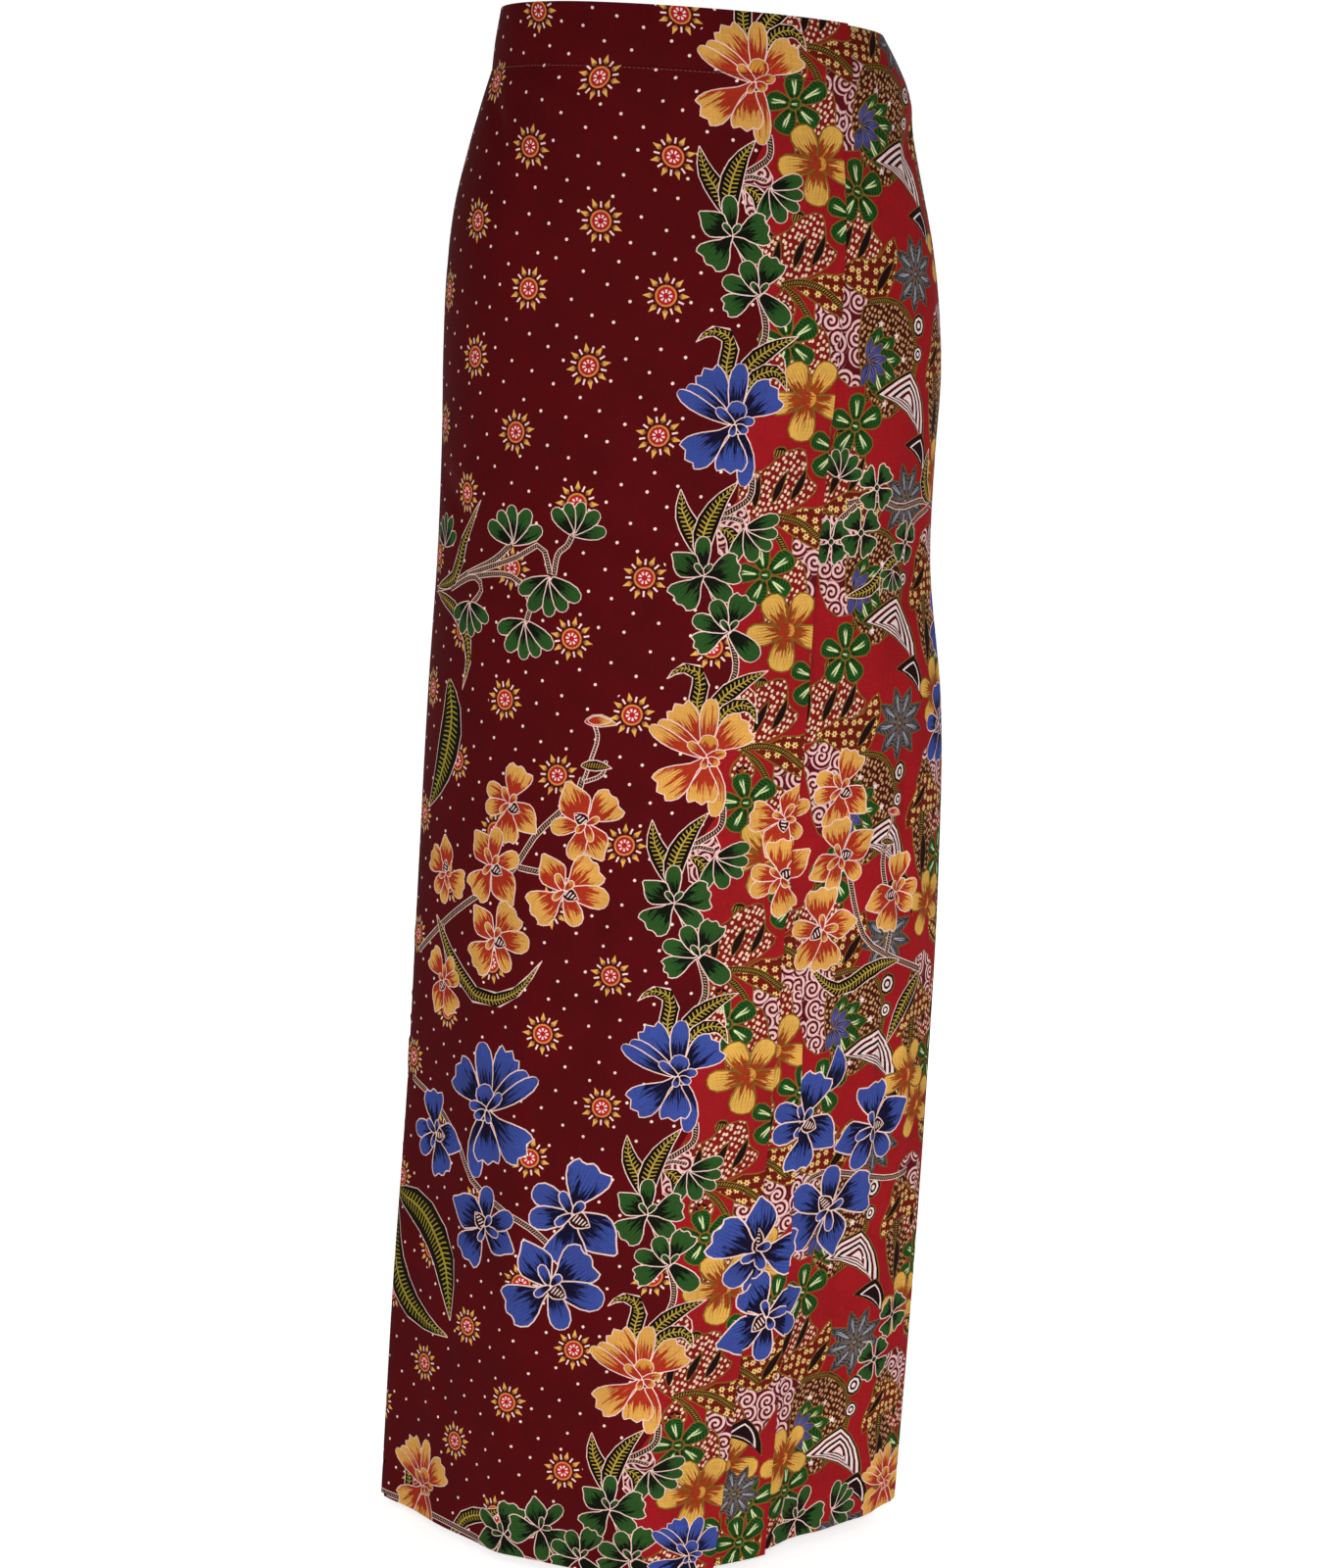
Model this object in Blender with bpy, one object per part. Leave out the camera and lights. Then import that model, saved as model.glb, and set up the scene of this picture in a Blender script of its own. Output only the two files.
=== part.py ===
"""Batik sarong sewn as a wrap skirt, in the hollow form that it has when worn.

The skirt is open at the waist and at the hem. Its origin is the middle of the waist opening, +Z is up, and the
wearer faces -Y. Every point of the cloth is given by an angle round the body (0 in front, 90 at +X, which is the
wearer's left) and a drop below the waist edge. The outer front wraps over a pleat and an under front, layer on
layer, and each layer has the form's points moved out by its place in the stack.
"""

from collections import namedtuple

import bmesh
import bpy
import numpy as np

# Driving dimensions, in metres
LENGTH = 1.055
BAND_HEIGHT = 0.040
HEM_TURN = 0.025
CLOTH_WALL = 0.0013
TURNED_WALL = 0.0022
LAYER_STEP = 0.0029
SEAM_GAP = 0.0004
WAIST_DIP = 0.0025
EDGE_STAND = 0.0050
PLEAT_STAND = 0.0035

# Places round the body, in degrees
LEFT_SEAM = -98.0
RIGHT_SEAM = 98.0
UNDER_LAP_EDGE = -24.0
LAP_RISES_FROM = -84.0
PLEAT_DEPTH = 21.0
STAND_REACH = 11.0
NORMAL_REACH = 3.0

# Degrees between the columns of a panel, and the rows of a panel and of the band
COLUMN_STEP = 4.2
BACK_COLUMN_STEP = 5.2
PANEL_ROWS = 21
BAND_ROWS = 2

# The worn form. Drop and half sizes in metres, tilt in degrees, down towards +X. The front and back of a section
# are half_depth * (1 - |x / half_width| ** flatness) ** corner: 0.5 rounds the sides, 1 brings them to a fold.
Section = namedtuple("Section", "drop centre_x half_width half_depth flatness corner tilt")
SECTIONS = (
    Section(0.000, 0.001, 0.1285, 0.0910, 2.20, 0.50, 2.6),
    Section(0.020, 0.005, 0.1360, 0.0980, 2.20, 0.50, 2.5),
    Section(0.040, 0.008, 0.1415, 0.1035, 2.20, 0.50, 2.4),
    Section(0.060, 0.006, 0.1455, 0.1075, 2.20, 0.50, 2.3),
    Section(0.090, 0.005, 0.1530, 0.1135, 2.20, 0.50, 2.2),
    Section(0.130, 0.005, 0.1625, 0.1205, 2.18, 0.51, 2.0),
    Section(0.170, 0.006, 0.1680, 0.1250, 2.15, 0.52, 1.8),
    Section(0.220, 0.007, 0.1710, 0.1280, 2.12, 0.53, 1.5),
    Section(0.280, 0.006, 0.1705, 0.1290, 2.10, 0.55, 1.2),
    Section(0.350, 0.005, 0.1715, 0.1300, 2.04, 0.58, 0.9),
    Section(0.450, 0.008, 0.1805, 0.1320, 1.96, 0.64, 0.5),
    Section(0.580, 0.007, 0.1855, 0.1335, 1.86, 0.72, 0.1),
    Section(0.730, 0.003, 0.1880, 0.1340, 1.76, 0.82, -0.4),
    Section(0.890, -0.004, 0.1910, 0.1325, 1.66, 0.91, -0.7),
    Section(LENGTH, -0.011, 0.1920, 0.1310, 1.58, 1.00, -1.0),
)

# The free edge of the wrap, and the edge of the pleat that fans out from under it below the knee
EdgePoint = namedtuple("EdgePoint", "drop angle")
WRAP_EDGE = (
    EdgePoint(0.00, 49.0),
    EdgePoint(0.05, 40.0),
    EdgePoint(0.12, 36.5),
    EdgePoint(0.20, 33.0),
    EdgePoint(0.35, 29.5),
    EdgePoint(0.45, 25.5),
    EdgePoint(0.55, 22.5),
    EdgePoint(0.75, 20.2),
    EdgePoint(0.90, 17.5),
    EdgePoint(LENGTH, 15.0),
)
PLEAT_EDGE = (
    EdgePoint(0.00, 45.0),
    EdgePoint(0.05, 37.0),
    EdgePoint(0.12, 33.5),
    EdgePoint(0.20, 30.5),
    EdgePoint(0.35, 27.0),
    EdgePoint(0.45, 24.5),
    EdgePoint(0.55, 23.0),
    EdgePoint(0.66, 27.5),
    EdgePoint(0.80, 28.0),
    EdgePoint(LENGTH, 27.5),
)

# Soft folds. Angles and width in degrees; start and full are the drops where a fold begins and has its height, in
# metres. A negative height is a trough. Round the crest, sharpness brings the fold to an edge.
Fold = namedtuple("Fold", "angle_start angle_hem start full width height sharpness")
FOLDS = (
    Fold(-35.0, -29.0, 0.42, 0.80, 7.5, 0.0048, 0.75),
    Fold(-9.0, -8.0, 0.50, 0.90, 12.0, -0.0020, 0.00),
    Fold(35.0, 37.0, 0.52, 0.95, 6.0, -0.0045, 0.20),
    Fold(64.0, 60.0, 0.36, 0.80, 8.0, 0.0030, 0.40),
    Fold(-66.0, -60.0, 0.40, 0.95, 10.0, -0.0030, 0.00),
    Fold(110.0, 108.0, 0.36, 0.85, 7.0, -0.0025, 0.10),
    Fold(130.0, 126.0, 0.30, 0.90, 8.0, 0.0045, 0.50),
    Fold(146.0, 143.0, 0.34, 0.80, 8.0, -0.0030, 0.10),
    Fold(160.0, 158.0, 0.28, 0.95, 8.0, 0.0070, 0.55),
    Fold(180.0, 181.0, 0.24, 0.80, 11.0, -0.0070, 0.10),
    Fold(202.0, 205.0, 0.32, 0.90, 8.0, 0.0075, 0.50),
    Fold(219.0, 223.0, 0.36, 0.95, 8.0, -0.0030, 0.10),
    Fold(235.0, 238.0, 0.30, 0.90, 7.0, 0.0040, 0.45),
    Fold(250.0, 253.0, 0.40, 0.95, 7.0, -0.0025, 0.10),
)

# Base colour and roughness of each piece, read from the cloth
Finish = namedtuple("Finish", "colour roughness")
FINISHES = {
    "front_wrap_panel": Finish((0.090, 0.008, 0.012), 0.72),
    "back_panel": Finish((0.085, 0.008, 0.011), 0.72),
    "under_panel": Finish((0.330, 0.016, 0.018), 0.72),
    "pleat_underlay": Finish((0.360, 0.050, 0.020), 0.72),
    "waistband_over": Finish((0.095, 0.008, 0.012), 0.70),
    "waistband_under": Finish((0.300, 0.015, 0.018), 0.70),
}


def eased(value):
    """0 below 0, 1 above 1, and a smooth rise between them."""
    value = np.clip(value, 0.0, 1.0)
    return value * value * (3.0 - 2.0 * value)


def along(table, column, drop):
    """A smooth curve through one column of a table whose rows are ordered by drop, read at an array of drops."""
    drops = np.array([row.drop for row in table])
    values = np.array([getattr(row, column) for row in table])
    slopes = np.gradient(values, drops)
    index = np.clip(np.searchsorted(drops, drop) - 1, 0, len(drops) - 2)
    span = drops[index + 1] - drops[index]
    part = np.clip((drop - drops[index]) / span, 0.0, 1.0)
    rise = values[index + 1] - values[index]
    start = slopes[index] * span
    end = slopes[index + 1] * span
    return values[index] + part * start + part**2 * (3 * rise - 2 * start - end) + part**3 * (start + end - 2 * rise)


def fold_height(angle, drop):
    """How far the folds carry the cloth outwards at arrays of angles and drops."""
    height = np.zeros(np.broadcast(angle, drop).shape)
    for fold in FOLDS:
        fade = eased((drop - fold.start) / (fold.full - fold.start))
        middle = fold.angle_start + (fold.angle_hem - fold.angle_start) * drop / LENGTH
        apart = (angle - middle + 180.0) % 360.0 - 180.0
        reach = np.abs(apart) / fold.width
        rounded = np.sqrt(reach**2 + (1.0 - fold.sharpness) ** 2) - (1.0 - fold.sharpness)
        height += fold.height * fade * np.exp(-1.6 * rounded * (0.6 + reach))
    return height


def bare_form(angle, drop):
    """The form without folds or layers: X, Y and Z for arrays of angles and drops."""
    turn = np.radians(angle)
    across = np.sin(turn)
    x = along(SECTIONS, "half_width", drop) * across
    hollow = np.clip(1.0 - np.abs(across) ** along(SECTIONS, "flatness", drop), 0.0, 1.0)
    y = -along(SECTIONS, "half_depth", drop) * hollow ** along(SECTIONS, "corner", drop) * np.sign(np.cos(turn))
    dip = WAIST_DIP * np.maximum(np.cos(turn), 0.0) * (1.0 - drop / LENGTH) ** 4
    z = -drop - dip - x * np.tan(np.radians(along(SECTIONS, "tilt", drop)))
    return x + along(SECTIONS, "centre_x", drop), y, z


def form(angle, drop, out):
    """Points on the worn form, moved out level by out and by the folds."""
    before_x, before_y, _ = bare_form(angle - NORMAL_REACH, drop)
    after_x, after_y, _ = bare_form(angle + NORMAL_REACH, drop)
    x, y, z = bare_form(angle, drop)
    way = np.stack([after_y - before_y, before_x - after_x], axis=-1)
    way /= np.linalg.norm(way, axis=-1, keepdims=True)
    moved = out + fold_height(angle, drop)
    return np.stack([x + way[..., 0] * moved, y + way[..., 1] * moved, z], axis=-1)


def under_out(angle, drop):
    """The under front and the back lie on the form itself."""
    return np.zeros(np.broadcast(angle, drop).shape)


def pleat_out(angle, drop):
    """The pleat lies one layer out, and its edge stands away where it fans out."""
    apart = (angle - along(PLEAT_EDGE, "angle", drop)) / STAND_REACH
    stand = PLEAT_STAND * eased((drop - 0.55) / 0.4) * np.exp(-(apart**2))
    return LAYER_STEP + stand


def wrap_out(angle, drop):
    """The wrap rises from the side seam to lie over the pleat, and its free edge stands a little away below."""
    lap = eased((angle - LAP_RISES_FROM) / (UNDER_LAP_EDGE - 6.0 - LAP_RISES_FROM))
    apart = (angle - along(WRAP_EDGE, "angle", drop)) / STAND_REACH
    stand = EDGE_STAND * eased((drop - 0.25) / 0.7) * np.exp(-(apart**2))
    return lap * (pleat_out(angle, drop) + LAYER_STEP) + stand


def panel_drops():
    """Drops of a panel's rows, from just below the band to the hem, with one row where the hem is turned up."""
    top = BAND_HEIGHT + SEAM_GAP
    rows = np.linspace(top, LENGTH - HEM_TURN, PANEL_ROWS)
    return np.append(rows, LENGTH)


def band_drops():
    """Drops of the waistband's rows."""
    return np.linspace(0.0, BAND_HEIGHT, BAND_ROWS + 1)


def grid_of(sheet, points):
    """Vertices for a grid of points, row by row."""
    return [[sheet.verts.new(point) for point in row] for row in points]


def lay_faces(sheet, first, second):
    """Faces between two neighbouring rows of vertices, facing the side where first, then second, runs clockwise."""
    for index in range(len(first) - 1):
        corners = (first[index], second[index], second[index + 1], first[index + 1])
        sheet.faces.new(corners).smooth = True


def cloth(name, drops, first_angle, last_angle, step, out, walls):
    """One piece of cloth between two edges, each given as an angle for every drop, with a wall for every drop.

    Its outer and inner faces are two grids on the form, and four strips close them along the edges.
    """
    columns = 1 + int(np.ceil(np.max(last_angle - first_angle) / step))
    share = np.linspace(0.0, 1.0, columns)
    drop = np.repeat(drops[:, None], columns, axis=1)
    angle = first_angle[:, None] + (last_angle - first_angle)[:, None] * share
    outwards = out(angle, drop)

    sheet = bmesh.new()
    outer = grid_of(sheet, form(angle, drop, outwards))
    inner = grid_of(sheet, form(angle, drop, outwards - walls[:, None]))
    for row in range(len(drops) - 1):
        lay_faces(sheet, outer[row], outer[row + 1])
        lay_faces(sheet, inner[row + 1], inner[row])
    lay_faces(sheet, inner[0], outer[0])
    lay_faces(sheet, outer[-1], inner[-1])
    lay_faces(sheet, [row[0] for row in outer], [row[0] for row in inner])
    lay_faces(sheet, [row[-1] for row in inner], [row[-1] for row in outer])
    mesh = bpy.data.meshes.new(name)
    sheet.to_mesh(mesh)
    sheet.free()
    mesh.set_sharp_from_angle(angle=np.radians(50.0))

    finish = FINISHES[name]
    material = bpy.data.materials.new(name)
    material.use_nodes = True
    shader = material.node_tree.nodes["Principled BSDF"]
    shader.inputs["Base Color"].default_value = (*finish.colour, 1.0)
    shader.inputs["Roughness"].default_value = finish.roughness
    shader.inputs["Metallic"].default_value = 0.0
    mesh.materials.append(material)
    piece = bpy.data.objects.new(name, mesh)
    bpy.context.collection.objects.link(piece)


def seam(drops, angle, side):
    """A side seam's angle for every drop, half a seam gap to one side of the seam."""
    half_width = along(SECTIONS, "half_width", drops)
    return angle + side * np.degrees(0.5 * SEAM_GAP / half_width)


def build_panels():
    """The wrap, the pleat, the under front and the back, from the band to the hem."""
    drops = panel_drops()
    walls = np.where(drops < LENGTH - 1.5 * HEM_TURN, CLOTH_WALL, TURNED_WALL)
    wrap_edge = along(WRAP_EDGE, "angle", drops)
    pleat_edge = along(PLEAT_EDGE, "angle", drops)
    under_edge = np.full(len(drops), UNDER_LAP_EDGE)
    left_front = seam(drops, LEFT_SEAM, 1.0)
    left_back = seam(drops, LEFT_SEAM + 360.0, -1.0)
    right_front = seam(drops, RIGHT_SEAM, -1.0)
    right_back = seam(drops, RIGHT_SEAM, 1.0)
    cloth("front_wrap_panel", drops, left_front, wrap_edge, COLUMN_STEP, wrap_out, walls)
    cloth("pleat_underlay", drops, wrap_edge - PLEAT_DEPTH, pleat_edge, COLUMN_STEP, pleat_out, walls)
    cloth("under_panel", drops, under_edge, right_front, COLUMN_STEP, under_out, walls)
    cloth("back_panel", drops, right_back, left_back, BACK_COLUMN_STEP, under_out, walls)


def build_waistband():
    """The band: one piece over the wrap, and one round the back that laps under it in front."""
    drops = band_drops()
    walls = np.full(len(drops), TURNED_WALL)
    wrap_edge = along(WRAP_EDGE, "angle", drops)
    under_edge = np.full(len(drops), UNDER_LAP_EDGE)
    left_front = seam(drops, LEFT_SEAM, 1.0)
    left_back = seam(drops, LEFT_SEAM + 360.0, -1.0)
    cloth("waistband_over", drops, left_front, wrap_edge, COLUMN_STEP, wrap_out, walls)
    cloth("waistband_under", drops, under_edge, left_back, BACK_COLUMN_STEP, under_out, walls)


def main():
    """Clears the scene and builds the skirt's pieces."""
    for item in list(bpy.data.objects):
        bpy.data.objects.remove(item)
    build_waistband()
    build_panels()


main()
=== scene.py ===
"""Looks of a batik wrap skirt: printed cloth on its worn form, stitches, floor, lights and camera.

The print is laid out flat, in millimetres. U runs round the body from the free edge of the wrap, positive
to the wearer's left, and V runs down from the waist edge. Each motif is a few outlines in painter's order.
A panel's outlines are cut into one mesh, which is then wrapped on the worn form, so the print follows the
cloth.
"""

import logging
import math
from dataclasses import dataclass, field, replace
from enum import Enum
from functools import cached_property

import bpy
import numpy as np
from mathutils import Matrix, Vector
from mathutils.geometry import delaunay_2d_cdt


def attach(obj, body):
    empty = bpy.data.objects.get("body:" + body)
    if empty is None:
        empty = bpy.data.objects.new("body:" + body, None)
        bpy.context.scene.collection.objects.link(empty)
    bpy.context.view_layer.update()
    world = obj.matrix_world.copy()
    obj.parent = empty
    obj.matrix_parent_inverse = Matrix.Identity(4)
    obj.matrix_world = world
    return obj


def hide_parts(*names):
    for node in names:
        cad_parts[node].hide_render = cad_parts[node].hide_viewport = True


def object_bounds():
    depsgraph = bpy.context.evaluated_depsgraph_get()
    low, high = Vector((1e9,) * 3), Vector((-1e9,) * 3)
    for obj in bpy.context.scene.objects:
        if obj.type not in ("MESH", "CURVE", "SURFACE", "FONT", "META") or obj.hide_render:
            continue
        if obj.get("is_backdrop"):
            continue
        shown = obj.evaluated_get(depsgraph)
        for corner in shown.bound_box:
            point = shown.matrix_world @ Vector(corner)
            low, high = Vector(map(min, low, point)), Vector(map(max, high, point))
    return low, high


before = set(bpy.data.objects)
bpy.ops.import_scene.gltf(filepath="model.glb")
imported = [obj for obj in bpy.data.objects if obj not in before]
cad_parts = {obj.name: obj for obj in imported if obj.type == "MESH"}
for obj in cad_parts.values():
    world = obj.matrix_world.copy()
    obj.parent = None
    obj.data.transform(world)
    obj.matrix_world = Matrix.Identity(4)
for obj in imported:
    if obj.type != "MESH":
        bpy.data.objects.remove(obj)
LOG = logging.getLogger("sarong")
MM = 0.001
Socket = bpy.types.NodeSocket
Array = np.ndarray


# The worn form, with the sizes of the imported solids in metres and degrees


@dataclass(frozen=True)
class Section:
    """One level section of the form, with its drop and half sizes in metres."""

    drop: float
    centre_x: float
    half_width: float
    half_depth: float
    flatness: float
    corner: float
    tilt: float


@dataclass(frozen=True)
class EdgePoint:
    """A place of a free edge: the drop in metres and the angle in degrees."""

    drop: float
    angle: float


@dataclass(frozen=True)
class Fold:
    """A long soft fold that opens towards the hem, as in the solids."""

    angle_start: float
    angle_hem: float
    start: float
    full: float
    width: float
    height: float
    sharpness: float


@dataclass(frozen=True)
class Crease:
    """A soft crease from one place to another: angles in degrees, drops, width and height in metres."""

    angle_from: float
    drop_from: float
    angle_to: float
    drop_to: float
    width: float
    height: float
    bow: float = 0.0


LENGTH = 1.055
SECTIONS = (
    Section(0.000, 0.001, 0.1285, 0.0910, 2.20, 0.50, 2.6),
    Section(0.020, 0.005, 0.1360, 0.0980, 2.20, 0.50, 2.5),
    Section(0.040, 0.008, 0.1415, 0.1035, 2.20, 0.50, 2.4),
    Section(0.060, 0.006, 0.1455, 0.1075, 2.20, 0.50, 2.3),
    Section(0.090, 0.005, 0.1530, 0.1135, 2.20, 0.50, 2.2),
    Section(0.130, 0.005, 0.1625, 0.1205, 2.18, 0.51, 2.0),
    Section(0.170, 0.006, 0.1680, 0.1250, 2.15, 0.52, 1.8),
    Section(0.220, 0.007, 0.1710, 0.1280, 2.12, 0.53, 1.5),
    Section(0.280, 0.006, 0.1705, 0.1290, 2.10, 0.55, 1.2),
    Section(0.350, 0.005, 0.1715, 0.1300, 2.04, 0.58, 0.9),
    Section(0.450, 0.008, 0.1805, 0.1320, 1.96, 0.64, 0.5),
    Section(0.580, 0.007, 0.1855, 0.1335, 1.86, 0.72, 0.1),
    Section(0.730, 0.003, 0.1880, 0.1340, 1.76, 0.82, -0.4),
    Section(0.890, -0.004, 0.1910, 0.1325, 1.66, 0.91, -0.7),
    Section(LENGTH, -0.011, 0.1920, 0.1310, 1.58, 1.00, -1.0),
)
WRAP_EDGE = (
    EdgePoint(0.00, 49.0),
    EdgePoint(0.05, 40.0),
    EdgePoint(0.12, 36.5),
    EdgePoint(0.20, 33.0),
    EdgePoint(0.35, 29.5),
    EdgePoint(0.45, 25.5),
    EdgePoint(0.55, 22.5),
    EdgePoint(0.75, 20.2),
    EdgePoint(0.90, 17.5),
    EdgePoint(LENGTH, 15.0),
)
PLEAT_EDGE = (
    EdgePoint(0.00, 45.0),
    EdgePoint(0.05, 37.0),
    EdgePoint(0.12, 33.5),
    EdgePoint(0.20, 30.5),
    EdgePoint(0.35, 27.0),
    EdgePoint(0.45, 24.5),
    EdgePoint(0.55, 23.0),
    EdgePoint(0.66, 27.5),
    EdgePoint(0.80, 28.0),
    EdgePoint(LENGTH, 27.5),
)
FOLDS = (
    Fold(-35.0, -29.0, 0.42, 0.80, 7.5, 0.0048, 0.75),
    Fold(-9.0, -8.0, 0.50, 0.90, 12.0, -0.0020, 0.00),
    Fold(35.0, 37.0, 0.52, 0.95, 6.0, -0.0045, 0.20),
    Fold(64.0, 60.0, 0.36, 0.80, 8.0, 0.0030, 0.40),
    Fold(-66.0, -60.0, 0.40, 0.95, 10.0, -0.0030, 0.00),
    Fold(110.0, 108.0, 0.36, 0.85, 7.0, -0.0025, 0.10),
    Fold(130.0, 126.0, 0.30, 0.90, 8.0, 0.0045, 0.50),
    Fold(146.0, 143.0, 0.34, 0.80, 8.0, -0.0030, 0.10),
    Fold(160.0, 158.0, 0.28, 0.95, 8.0, 0.0070, 0.55),
    Fold(180.0, 181.0, 0.24, 0.80, 11.0, -0.0070, 0.10),
    Fold(202.0, 205.0, 0.32, 0.90, 8.0, 0.0075, 0.50),
    Fold(219.0, 223.0, 0.36, 0.95, 8.0, -0.0030, 0.10),
    Fold(235.0, 238.0, 0.30, 0.90, 7.0, 0.0040, 0.45),
    Fold(250.0, 253.0, 0.40, 0.95, 7.0, -0.0025, 0.10),
)

# Creases placed one by one: under the band, across the hip, down the front and round the hidden sides
CREASES = (
    Crease(-52, 0.044, -34, 0.074, 0.010, 0.0012, 0.004),
    Crease(-38, 0.046, -16, 0.082, 0.012, -0.0010, 0.005),
    Crease(-8, 0.044, 10, 0.070, 0.011, 0.0009, -0.004),
    Crease(-74, 0.050, -50, 0.105, 0.014, -0.0013, 0.006),
    Crease(62, 0.046, 46, 0.090, 0.010, 0.0011, 0.004),
    Crease(84, 0.050, 62, 0.108, 0.013, -0.0012, -0.006),
    Crease(-30, 0.330, 18, 0.362, 0.020, -0.0010, 0.010),
    Crease(-58, 0.372, -12, 0.390, 0.017, 0.0009, -0.008),
    Crease(-84, 0.300, -52, 0.352, 0.020, -0.0014, 0.008),
    Crease(72, 0.310, 52, 0.420, 0.016, -0.0014, 0.006),
    Crease(-20, 0.480, -17, 0.760, 0.016, -0.0014, 0.006),
    Crease(-43, 0.560, -41, 0.900, 0.014, 0.0011, -0.006),
    Crease(4, 0.640, 2, 0.980, 0.018, -0.0012, 0.004),
    Crease(12, 0.520, 13, 0.700, 0.010, 0.0010, 0.003),
    Crease(-52, 0.780, -49, 1.030, 0.016, -0.0015, 0.004),
    Crease(47, 0.600, 49, 0.880, 0.010, 0.0016, 0.003),
    Crease(43, 0.760, 44, 1.040, 0.009, -0.0018, 0.002),
    Crease(56, 0.420, 55, 0.660, 0.010, -0.0012, 0.003),
    Crease(74, 0.700, 71, 1.030, 0.013, 0.0014, 0.004),
    Crease(112, 0.048, 128, 0.104, 0.012, -0.0013, 0.004),
    Crease(140, 0.046, 158, 0.088, 0.011, 0.0012, 0.004),
    Crease(172, 0.046, 186, 0.080, 0.012, -0.0011, -0.004),
    Crease(214, 0.046, 198, 0.092, 0.011, 0.0012, 0.005),
    Crease(244, 0.050, 226, 0.108, 0.013, -0.0013, 0.005),
    Crease(118, 0.310, 152, 0.372, 0.020, -0.0013, 0.008),
    Crease(168, 0.352, 206, 0.336, 0.018, 0.0011, -0.008),
    Crease(246, 0.320, 214, 0.392, 0.018, -0.0014, 0.008),
    Crease(120, 0.520, 118, 0.860, 0.013, 0.0013, 0.004),
    Crease(152, 0.600, 150, 0.990, 0.015, -0.0015, 0.005),
    Crease(191, 0.560, 193, 0.900, 0.014, 0.0014, 0.004),
    Crease(228, 0.640, 230, 1.020, 0.015, -0.0014, 0.005),
    Crease(262, 0.520, 262, 0.900, 0.014, 0.0012, 0.004),
)


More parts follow.
